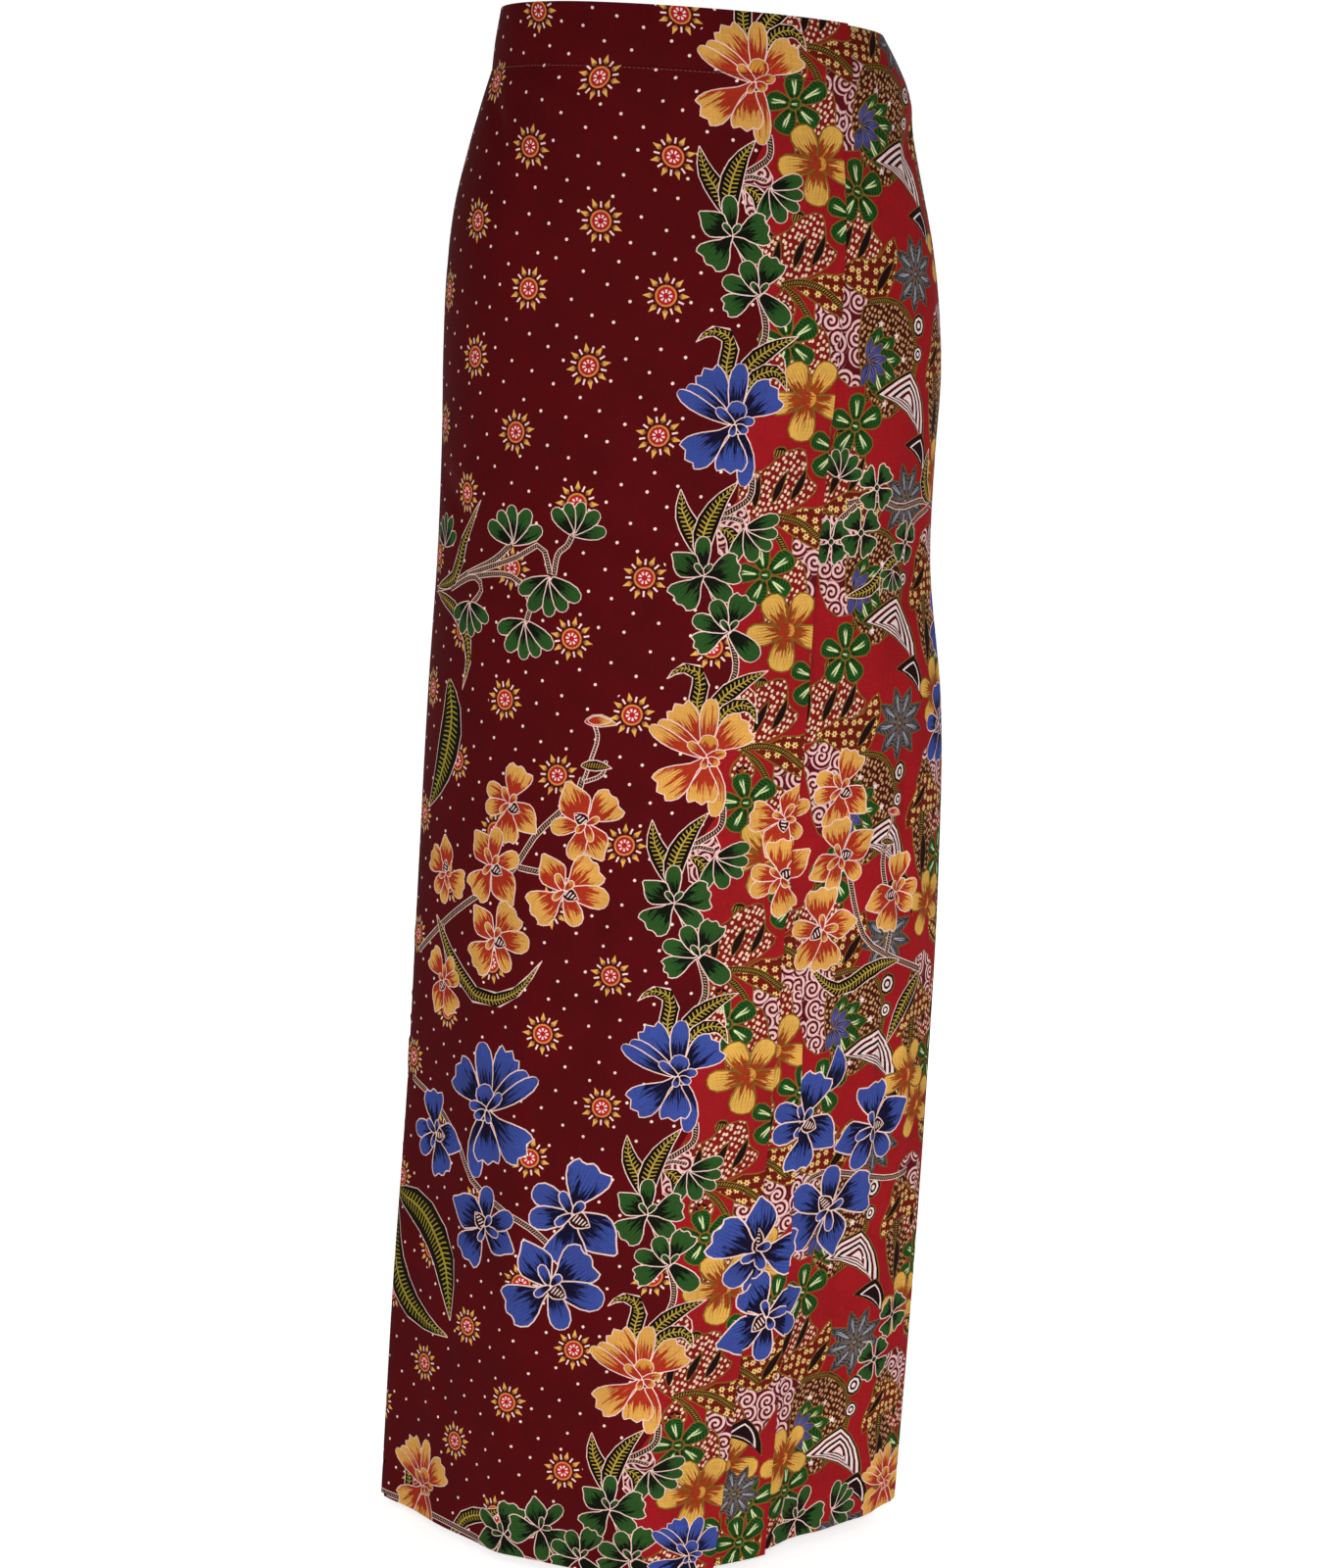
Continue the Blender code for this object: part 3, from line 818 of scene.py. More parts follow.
def orchid(flower: Flower, heart: Flower, petals: Ink, inner: Ink) -> Drawing:
    """Draw an orchid: its petals, a hatched throat and the small petals round that."""
    return flower.draw(petals) + turned(leaf(12, 9, 0, HATCH), -2, 0, 24) + heart.draw(inner)


def four_petals() -> Drawing:
    """Draw the small green flower of four petals."""
    return FOUR_PETALS.draw(GREEN) + lined(disc(2.7, GREEN, 8), PALE, 0.6)


def gold_flower() -> Drawing:
    """Draw the gold flower of the head panel with its star centre."""
    flower = [disc(8.5, OLIVE, 12)] + GOLD_FLOWER.draw(SOFT_GOLD)
    return flower + [disc(5.2, GOLD_CENTRE, 10), star(4.4, SOFT_GOLD)]


def head_flower() -> Drawing:
    """Draw the green flower of the head panel with its round centre."""
    middle = [disc(4.4, OLIVE, 10), disc(3.5, BRIGHT_GREEN, 8)]
    return [disc(6.6, OLIVE, 10)] + HEAD_FLOWER.draw(BRIGHT_GREEN) + middle


def grey_star() -> Drawing:
    """Draw the grey flower of nine pointed petals."""
    return [disc(6.5, OLIVE, 10)] + STAR_FLOWER.draw(GREY) + [disc(4.2, OLIVE, 10), disc(3.2, GREY, 8)]


def key_triangle(size: float = 31.0) -> Drawing:
    """Draw a curved triangle of nested black and white lines, as a plain meander."""
    drawing = []
    corners = np.array([[-1.0, -0.25], [0.1, -0.80], [1.0, 0.90]])
    bow = np.array([[0.02, -0.06], [0.20, -0.12], [0.14, -0.16]])
    part = np.linspace(0.0, 1.0, 4, endpoint=False)[:, None]
    sides = [a + (b - a) * part + 4.0 * out * part * (1.0 - part)
             for a, b, out in zip(corners, np.roll(corners, -1, axis=0), bow)]
    ring = np.concatenate(sides)
    middle = np.array([0.12, -0.16])
    for share, ink in ((1.0, OLIVE), (0.95, BLACK), (0.86, WHITE), (0.75, MAROON), (0.64, WHITE),
                       (0.53, BLACK), (0.42, WHITE), (0.31, MAROON), (0.18, WHITE)):
        outline = (middle + (ring - middle) * share) * size
        drawing.append(Shape(outline, ink, outline[[0, 8]], np.full(2, size)))
    return drawing


def small_triangle(size: float = 19.0) -> Drawing:
    """Draw the small black triangle with one white line inside it."""
    return [shape for k, shape in enumerate(key_triangle(size)) if k in (0, 1, 4, 5)]


def paisley_wing() -> Drawing:
    """Draw the grain-filled wing of the head panel from its root, with dark leaves and small scales."""
    ring = patch(((0, 0), (-12, -9), (-17, -22), (-9, -33), (1, -39), (10, -50), (24, -55), (29, -47),
                  (31, -36), (40, -29), (33, -18), (18, -8)), GRAIN, 24, ((0, 0), (14, -46)))
    drawing = lined(disc(5.5, BAND, 10, -11.0, -32.0), OLIVE, 0.8)
    drawing += lined(disc(5.5, BAND, 10, 9.0, -49.0), OLIVE, 0.8)
    drawing += lined(ring, OLIVE, 0.9)
    for length, bend, u, v, turn in ((25, 16, -3, -9, 262), (26, 16, 9, -14, 278), (27, -22, 21, -17, 300)):
        drawing += turned(leaf(length, 6.5, bend, BLACK, OLIVE), u, v, turn)
    return drawing


def star_leaf() -> Drawing:
    """Draw the dark leaf with a row of small stars."""
    return leaf(38, 17, -24, STARRED, OLIVE, 0.8)


def spangled_field() -> Drawing:
    """Draw the broad field of small gold flowers from the root of the wing, with a dark leaf over it."""
    ring = patch(((0, 0), (14, -12), (30, -16), (40, -32), (47, -22), (46, -4), (38, 10), (22, 8)),
                 SPANGLED, 16)
    return lined(ring, OLIVE, 0.9) + turned(leaf(26, 7, 18, BLACK, OLIVE), 34, 4, 286)


def scroll_field(height: float, width: float) -> Drawing:
    """Draw a tall field of pale scrolls between two thin lines."""
    half = 0.5 * width
    ring = patch(((0, 0), (half, 0.15 * height), (half * 1.1, 0.5 * height), (half * 0.6, 0.85 * height),
                  (0, height), (-half * 0.6, 0.85 * height), (-half * 0.8, 0.5 * height),
                  (-half, 0.15 * height)), SCROLL, 16)
    return lined(ring, OLIVE, 0.8)


def half_round() -> Drawing:
    """Draw the half-round paisley: a grain ground in a dark band, green star petals and a violet lotus."""
    ring = patch(((-26, -30), (-6, -36), (12, -31), (25, -16), (31, 4), (26, 24), (10, 40), (-4, 42),
                  (-14, 30), (-24, 14), (-28, -8)), BROWN_GRAIN, 22, ((-26, -30), (2, 40)))
    drawing = lined(ring, OLIVE, 1.0)
    drawing += stem(((-22, -33), (-4, -35), (12, -30), (24, -15), (28, 4), (23, 24), (8, 39)), 4.2, BAND,
                    OLIVE)
    for k, (turn, length) in enumerate(((-76, 25), (-40, 27), (-6, 29), (28, 29), (60, 30))):
        reach = math.radians(turn)
        drawing += turned(leaf(length, 18, 0, BRIGHT_GREEN, OLIVE, 0.9, 6), -16, 6, turn, chance=0.3 * k)
        out = length + 1.0
        drawing.append(star(2.8, WHITE, -16 + out * math.cos(reach), 6 + out * math.sin(reach)))
    for k, turn in enumerate((-88, -50, -12, 26, 64, 104)):
        drawing += turned(leaf(17, 9, 0, VIOLET, OLIVE, 0.7, 5), -18, 6, turn, chance=0.2 * k)
    return drawing


def dotted_drop() -> Drawing:
    """Draw the small drop with a dotted flower in it."""
    ring = patch(((0, -10), (6, -3), (6.5, 4), (0, 9), (-6.5, 4), (-6, -3)), GRAIN, 14)
    return lined(ring, OLIVE, 0.9) + [disc(3.4, BLACK, 8, 0.0, 1.0), star(3.0, SOFT_GOLD, 0.0, 1.0)]


def white_drops() -> Drawing:
    """Draw two black drops with white rings, the lower one smaller."""
    rings = ((8.4, OLIVE), (7.6, BLACK), (5.8, WHITE), (3.9, BLACK), (2.0, WHITE))
    whole = [disc(radius, ink, 8) for radius, ink in rings]
    return [shape for k in range(2) for shape in turned(whole, 0.5 * k, 19.0 * k, 0.0, 1.0 - 0.24 * k)]


def feather(length: float, width: float) -> Drawing:
    """Draw a grain-filled feather with a scalloped side, for the far side of the under front."""
    part = np.linspace(0.0, 1.0, 9)
    right = [(width * (0.35 + 0.65 * math.sin(math.pi * p)) * (1.0 + 0.16 * (k % 2)), length * p)
             for k, p in enumerate(part)]
    left = [(-0.35 * width * math.sin(math.pi * p), length * p) for p in part[::-2]]
    ring = patch(tuple(right + left), BROWN_GRAIN, 20, ((0, 0), (0, length)))
    return lined(ring, OLIVE, 1.0) + turned(leaf(0.5 * length, 8, 10, BAND, OLIVE), 2, 0.7 * length, 272)


def bud() -> Drawing:
    """Draw an orange bud over two small dark leaves on their stems."""
    drawing = stem(((-6, 36), (-2, 20), (1, 6), (-2, -3)), 3.0) + stem(((-6, 36), (6, 30), (8, 20)), 3.0)
    drawing += turned(leaf(22, 8, 20, BAND), -9, 25, 350)
    drawing += turned(leaf(23, 9, 40, GOLD_CENTRE), -9, -4, 340) + turned(leaf(17, 7, 10, GOLD), -7, -5, 352)
    return drawing


@dataclass(frozen=True)
class Spot:
    """A motif's place on the cloth in millimetres, with its turn, size and mirroring."""

    motif: str
    u: float
    v: float
    turn: float = 0.0
    size: float = 1.0
    flip: bool = False


# Sprays of the maroon field, placed one by one
GREEN_SPRAY = (
    Spot("fan", -206, 345, 232, 1.05),
    Spot("fan", -161, 336, 250, 0.90),
    Spot("fan", -174, 366, 54, 1.05),
    Spot("fan", -190, 396, 62, 1.05),
    Spot("fan", -244, 388, 50, 0.95),
    Spot("fan", -288, 352, 236, 0.90),
)
ORANGE_SPRAY = (
    Spot("bud", -136, 462),
    Spot("gold_a", -196, 518, 0, 1.08),
    Spot("gold_b", -138, 526, 190, 1.08),
    Spot("gold_b", -208, 562, 0, 1.12),
    Spot("gold_a", -260, 576, 300, 1.0, True),
    Spot("gold_c", -148, 572, 0, 1.12),
    Spot("gold_c", -202, 612, 350, 1.12),
    Spot("gold_a", -258, 652, 150, 1.0, True),
)
BLUE_SPRAY = (
    Spot("blue_border", -203, 734, 172, 1.25, True),
    Spot("blue_a", -260, 764, 330, 1.25),
    Spot("blue_b", -196, 818, 250, 1.30, True),
    Spot("blue_a", -126, 796, 0, 1.55),
    Spot("blue_c", -136, 850, 0, 1.45),
)

# Sprays over the under front and the pleat
RIGHT_GREEN = (
    Spot("four", 12, 335, 10, 0.95),
    Spot("four", 46, 299),
    Spot("four", 36, 329, 12, 1.05),
    Spot("four", 83, 336, 20, 0.9),
    Spot("fan", 12, 292, 250, 0.8),
    Spot("fan", 72, 356, 70, 0.6),
)
RIGHT_ORANGE = (
    Spot("gold_a", 37, 501, 0, 1.08),
    Spot("gold_b", 43, 548, 20, 1.08, True),
    Spot("gold_c", 34, 598, 120, 1.15),
    Spot("gold_a", 100, 578, 200, 1.12, True),
    Spot("gold_b", -8, 518, 60, 0.95),
    Spot("gold_a", -6, 558, 0, 1.05, True),
    Spot("bud", 88, 524, 10, 0.7),
)
RIGHT_BLUE = (
    Spot("blue_a", 34, 734, 0, 1.4),
    Spot("blue_b", 98, 748, 30, 1.35, True),
    Spot("blue_c", 68, 804, 200, 1.45),
    Spot("blue_a", 4, 820, 300, 1.5, True),
    Spot("blue_b", 20, 872, 110, 1.4),
    Spot("blue_a", 158, 388, 40, 1.3),
    Spot("blue_c", 146, 464, 120, 1.1),
)
HEM_ROW = (
    Spot("orange_border", -240, 1032, 0, 0.95),
    Spot("green", -152, 1040, 300, 1.05),
    Spot("green", -124, 1030, 40, 1.0),
    Spot("second", -92, 1046, 0, 0.95),
    Spot("blue_border", -19, 1040, 10, 0.75),
)
RIGHT_HEM_ROW = (
    Spot("gold", 57, 988, 10, 0.95),
    Spot("green", 80, 1040, 20, 1.0),
    Spot("fan", 112, 1040, 300, 0.9),
    Spot("orange_border", 168, 1036, 0, 0.8),
)


@dataclass(frozen=True)
class BatikPrint:
    """The whole print: grounds, suns, borders, head panel and sprays, with its repeats in millimetres."""

    sun_column: float = 47.0
    sun_row: float = 89.0
    sun_radius: float = 15.2
    border_repeat: float = 216.0
    border_start: float = 45.0
    head_repeat: float = 150.0
    head_start: float = 93.0
    under_repeat: float = 151.0
    under_start: float = 60.0
    red_side: tuple = ((0, -60), (30, -62), (50, -60), (62, -50), (90, -64), (126, -64), (164, -55),
                       (190, -50), (210, -58), (216, -60))
    hem: float = LENGTH / MM

    @cached_property
    def motifs(self) -> dict[str, Drawing]:
        """Return every motif once, drawn round its own origin."""
        return {
            "orange_border": orchid(BORDER_ORCHID, ORCHID_HEART, GOLD, GOLD_CENTRE),
            "blue_border": orchid(BORDER_ORCHID, ORCHID_HEART, BLUE, BLUE),
            "gold_a": orchid(SPRAY_ORCHID, SPRAY_HEART, GOLD, GOLD_CENTRE),
            "gold_b": orchid(SECOND_ORCHID, SPRAY_HEART, GOLD, GOLD_CENTRE),
            "gold_c": orchid(THIRD_ORCHID, SPRAY_HEART, GOLD, GOLD_CENTRE),
            "blue_a": orchid(SPRAY_ORCHID, SPRAY_HEART, BLUE, BLUE),
            "blue_b": orchid(SECOND_ORCHID, SPRAY_HEART, BLUE, BLUE),
            "blue_c": orchid(THIRD_ORCHID, SPRAY_HEART, BLUE, BLUE),
            "green": GREEN_ORCHID.draw(GREEN) + GREEN_HEART.draw(GREEN),
            "second": SECOND_GREEN_ORCHID.draw(GREEN) + GREEN_HEART.draw(GREEN),
            "fan": GREEN_FAN.draw(GREEN),
            "four": four_petals(),
            "gold": gold_flower(),
            "head": head_flower(),
            "grey": grey_star(),
            "key": key_triangle(),
            "triangle": small_triangle(),
            "wing": paisley_wing(),
            "star_leaf": star_leaf(),
            "spangled": spangled_field(),
            "drops": white_drops(),
            "half_round": half_round(),
            "drop": dotted_drop(),
            "bud": bud(),
        }

    def at(self, motif: str, u: float, v: float, turn: float = 0.0, size: float = 1.0,
           flip: bool = False) -> Drawing:
        """Return a motif placed on the cloth, its chance taken from its place."""
        return turned(self.motifs[motif], u, v, turn, size, flip, (0.137 * u + 0.211 * v) % 1.0)

    def spots(self, spots: tuple[Spot, ...], u: float = 0.0, v: float = 0.0) -> Drawing:
        """Return the motifs of a given list, moved together."""
        return [shape for s in spots for shape in self.at(s.motif, s.u + u, s.v + v, s.turn, s.size, s.flip)]

    def suns(self, first: float, last: float) -> Drawing:
        """Draw the suns in columns whose rows are half a repeat apart."""
        drawing = []
        for k in range(math.ceil((first + 112.0) / self.sun_column),
                       math.floor((last + 112.0) / self.sun_column) + 1):
            start = 5.0 + 0.5 * self.sun_row * (k % 2)
            for row in range(-1, 13):
                u = -112.0 + self.sun_column * k + 2.0 * math.sin(2.3 * row + k)
                v = start + self.sun_row * row + 1.5 * math.sin(1.7 * row + 2.0 * k)
                drawing += turned([disc(self.sun_radius, SUN, 12)], u, v, 11.0 * (row + k))
        return drawing

    def red_ground(self) -> Drawing:
        """Draw the red ground of the head panel, its left side following the border's stems."""
        v = np.arange(-30.0, self.hem + 31.0, 12.0)
        down = (v - self.border_start + 30.0) % self.border_repeat
        u = np.interp(down, *np.array(self.red_side).T)
        outline = np.concatenate([np.stack([u, v], axis=-1), [[400.0, self.hem + 30.0], [400.0, -30.0]]])
        return [Shape(outline, RED, np.array([[0.0, 0.0], [1.0, 0.0]]), np.ones(2))]

    def border_unit(self, v: float, orchid: str) -> Drawing:
        """Draw one repeat of the vertical border, with its big orchid at V."""
        drawing = lined(patch(((-70, v + 60), (-56, v + 50), (-48, v + 62), (-56, v + 80), (-66, v + 84)),
                              SCROLL, 12),
                        PALE, 0.7)
        drawing += lined(patch(((-62, v + 182), (-48, v + 168), (-36, v + 174), (-38, v + 192),
                                (-54, v + 202)), GRAIN,
                               14), PALE, 0.7)
        drawing += stem(((-50, v + 30), (-50, v + 46), (-62, v + 56), (-75, v + 66), (-76, v + 88),
                         (-66, v + 112),
                        (-56, v + 134), (-50, v + 158), (-58, v + 178), (-68, v + 198)))
        drawing += stem(((-74, v + 66), (-64, v + 60), (-52, v + 62)), 3.6)
        drawing += path_leaf(((-76, v + 88), (-83, v + 72), (-91, v + 58), (-94, v + 42)), 14)
        drawing += path_leaf(((-75, v + 92), (-77, v + 72), (-70, v + 52), (-58, v + 36)), 15)
        drawing += path_leaf(((-68, v + 66), (-58, v + 72), (-56, v + 86), (-60, v + 96)), 11)
        drawing += self.at("fan", -50, v + 66, 4, 0.92)
        drawing += self.at("green", -75, v + 97)
        drawing += self.at("second", -56, v + 133)
        drawing += path_leaf(((-66, v + 198), (-73, v + 182), (-72, v + 163), (-84, v + 158),
                              (-94, v + 166)), 12)
        drawing += path_leaf(((-66, v + 198), (-58, v + 178), (-44, v + 166), (-28, v + 158)), 13)
        drawing += path_leaf(((-62, v + 198), (-52, v + 184), (-40, v + 182), (-33, v + 194)), 11)
        return drawing + self.at(orchid, -64, v)

    def head_unit(self, v: float) -> Drawing:
        """Draw one repeat of the head panel, with its gold flower at V."""
        drawing = turned(scroll_field(62, 40), 2, v + 77, 8)
        for outline in (((-36, -26), (-26, -48), (-10, -44), (-6, -20), (-18, -4), (-28, -10)),
                        ((-42, 108), (-24, 102), (-14, 126), (-18, 152), (-32, 148), (-38, 126))):
            drawing += lined(patch(tuple((a, v + b) for a, b in outline), GRAIN, 14), OLIVE, 1.0)
        drawing += self.at("wing", -44, v + 80, 4, 0.92) + self.at("spangled", -34, v + 80, 10, 1.1)
        drawing += stem(((-43, v + 79), (-30, v + 76), (-14, v + 80), (2, v + 92)), 4.6, BAND, OLIVE)
        drawing += stem(((-43, v + 79), (-30, v + 88), (-20, v + 108), (-20, v + 146)), 4.6, BAND, OLIVE)
        drawing += self.at("drop", -40, v + 92, 0, 1.2)
        drawing += self.at("head", -35, v - 36) + self.at("head", 5, v + 32, 20)
        return drawing + self.at("gold", -18, v)

    def under_unit(self, v: float) -> Drawing:
        """Draw one repeat of the under front, whose straight grain drifts from the slanting wrap edge."""
        u = 27.0 + 0.056 * (v - 55.0)
        drawing = turned(scroll_field(76, 50), u - 26, v - 52, -6) + turned(scroll_field(62, 36), u + 84,
                                                                            v - 38, 10)
        drawing += turned(feather(84, 28), u + 62, v - 24, -8) + turned(feather(76, 26), u + 122, v + 22, 8)
        drawing += self.at("wing", u - 40, v + 108, 6, 1.1) + self.at("wing", u + 92, v + 30, 10, 1.0)
        drawing += stem(((u - 40, v - 46), (u - 18, v - 46), (u - 6, v - 26), (u - 8, v + 34)), 4.6, BAND,
                        OLIVE)
        drawing += self.at("spangled", u - 42, v - 50, 10, 1.1)
        drawing += self.at("spangled", u + 104, v + 6, 200, 1.0)
        drawing += self.at("half_round", u + 9, v) + self.at("half_round", u + 146, v + 54, 180, 0.9)
        drawing += self.at("drops", u + 39, v - 20) + self.at("key", u + 29, v + 34)
        drawing += self.at("triangle", u + 52, v + 66, 6) + self.at("grey", u + 34, v - 54, 0, 1.12)
        drawing += self.at("grey", u + 132, v - 8, 0, 0.9) + self.at("head", u + 104, v + 46, 30)
        drawing += self.at("head", u - 14, v + 48, 14, 1.05) + self.at("star_leaf", u + 88, v - 58, 40, 1.1)
        drawing += turned(leaf(34, 10, 30, BLACK, OLIVE), u + 74, v + 26, 70)
        return drawing + self.at("gold", u + 89, v + 78, 20, 0.9)

    def maroon_sprays(self, u: float = 0.0) -> Drawing:
        """Draw the three sprays of the maroon field with their stems and big leaves, moved by U."""
        drawing = stem(((-306, 384), (-270, 378), (-252, 370), (-222, 358), (-206, 346)))
        drawing += stem(((-250, 370), (-203, 355), (-183, 345), (-174, 364)), 4.0)
        drawing += stem(((-172, 364), (-170, 350), (-164, 344), (-161, 337)), 4.0)
        drawing += stem(((-250, 371), (-206, 366), (-188, 382), (-190, 396)), 4.0)
        drawing += stem(((-272, 381), (-241, 370), (-231, 378), (-243, 389)), 4.0)
        drawing += path_leaf(((-300, 382), (-266, 372), (-255, 346), (-236, 318)), 11)
        drawing += path_leaf(((-300, 384), (-260, 396), (-244, 420), (-250, 448)), 11)
        drawing += path_leaf(((-268, 440), (-262, 470), (-272, 505), (-292, 535)), 30, BIG_LEAF)
        drawing += stem(((-300, 640), (-262, 612), (-232, 592), (-192, 566), (-172, 536), (-148, 510),
                         (-142, 492)))
        drawing += stem(((-262, 612), (-256, 632), (-252, 644)))
        drawing += stem(((-185, 560), (-160, 562), (-146, 566)))
        drawing += path_leaf(((-272, 606), (-246, 636), (-212, 656), (-180, 646), (-160, 620)), 13)
        drawing += stem(((-300, 730), (-262, 742), (-232, 762), (-205, 792), (-160, 808), (-128, 830)))
        drawing += path_leaf(((-308, 818), (-270, 826), (-240, 852), (-226, 900)), 30, BIG_LEAF)
        drawing += path_leaf(((-306, 826), (-300, 868), (-272, 900), (-226, 912)), 26, BIG_LEAF)
        drawing += self.spots(GREEN_SPRAY) + self.spots(ORANGE_SPRAY) + self.spots(BLUE_SPRAY)
        return turned(drawing, u)

    def wrap(self) -> Drawing:
        """Return the print of the wrap and of the band over it."""
        drawing = self.suns(-330.0, -95.0) + self.red_ground()
        for row in range(2):
            drawing += turned([disc(self.sun_radius, SUN, 12)], -66, 405 + 430 * row)
        for k in range(-1, 8):
            drawing += self.head_unit(self.head_start + self.head_repeat * k)
        for k in range(-1, 5):
            drawing += self.border_unit(self.border_start + self.border_repeat * k,
                                        ("orange_border", "blue_border")[k % 2])
        drawing += path_leaf(((-205, 1062), (-190, 1040), (-168, 1030), (-150, 1018)), 13)
        drawing += path_leaf(((-270, 1066), (-258, 1040), (-266, 1012)), 12)
        drawing += stem(((-300, 1052), (-200, 1050), (-90, 1060)))
        return drawing + self.maroon_sprays() + self.spots(HEM_ROW) + self.spots(RIGHT_ORANGE + RIGHT_BLUE)

    def right_sprays(self) -> Drawing:
        """Return the sprays that lie over the pleat and the under front, with their stems and leaves."""
        drawing = stem(((146, 315), (104, 308), (72, 312), (46, 306), (20, 310)))
        drawing += stem(((120, 312), (92, 322), (83, 336)))
        drawing += path_leaf(((120, 310), (104, 296), (108, 272)), 14)
        drawing += path_leaf(((62, 350), (50, 366), (26, 372)), 10)
        drawing += path_leaf(((80, 344), (64, 352), (58, 372)), 9) + stem(((30, 310), (16, 322), (12, 334)))
        drawing += stem(((140, 640), (96, 622), (70, 604), (52, 560), (40, 520)))
        drawing += stem(((96, 622), (98, 596), (84, 560), (84, 540)))
        drawing += path_leaf(((112, 628), (84, 630), (52, 642), (22, 620)), 13)
        drawing += path_leaf(((140, 640), (120, 660), (104, 690)), 14)
        drawing += stem(((150, 790), (120, 790), (84, 780), (50, 776), (26, 800)))
        drawing += path_leaf(((52, 716), (60, 700), (58, 682)), 16, BLUE)
        drawing += self.at("gold", 131, 716) + self.at("four", 150, 900) + self.at("four", 134, 930)
        return drawing + self.spots(RIGHT_GREEN + RIGHT_ORANGE + RIGHT_BLUE)

    def pleat(self) -> Drawing:
        """Return the print of the pleat."""
        drawing = self.red_ground()
        for k in range(-1, 7):
            drawing += turned(self.head_unit(self.head_start + self.head_repeat * k - 14.0), 20.0)
        drawing += self.at("triangle", 12, 960)
        drawing += self.at("grey", 13, 1002, 0, 0.9)
        drawing += self.at("head", 22, 1040)
        return drawing + self.right_sprays() + self.spots(RIGHT_HEM_ROW)

    def under(self) -> Drawing:
        """Return the print of the under front and of the band over it."""
        drawing = self.red_ground()
        for k in range(-1, 8):
            drawing += self.under_unit(self.under_start + self.under_repeat * k)
        return drawing + self.right_sprays() + self.spots(RIGHT_HEM_ROW)

    def back(self) -> Drawing:
        """Return the print of the back: suns and the same sprays, plainly repeated."""
        drawing = self.suns(120.0, 680.0) + self.maroon_sprays(905.0) + self.maroon_sprays(640.0)
        drawing += self.spots(HEM_ROW[:4], 905.0)
        drawing += self.spots(HEM_ROW[:4], 700.0)
        drawing += self.spots(HEM_ROW[:4], 505.0)
        return drawing


# Node groups of the inks


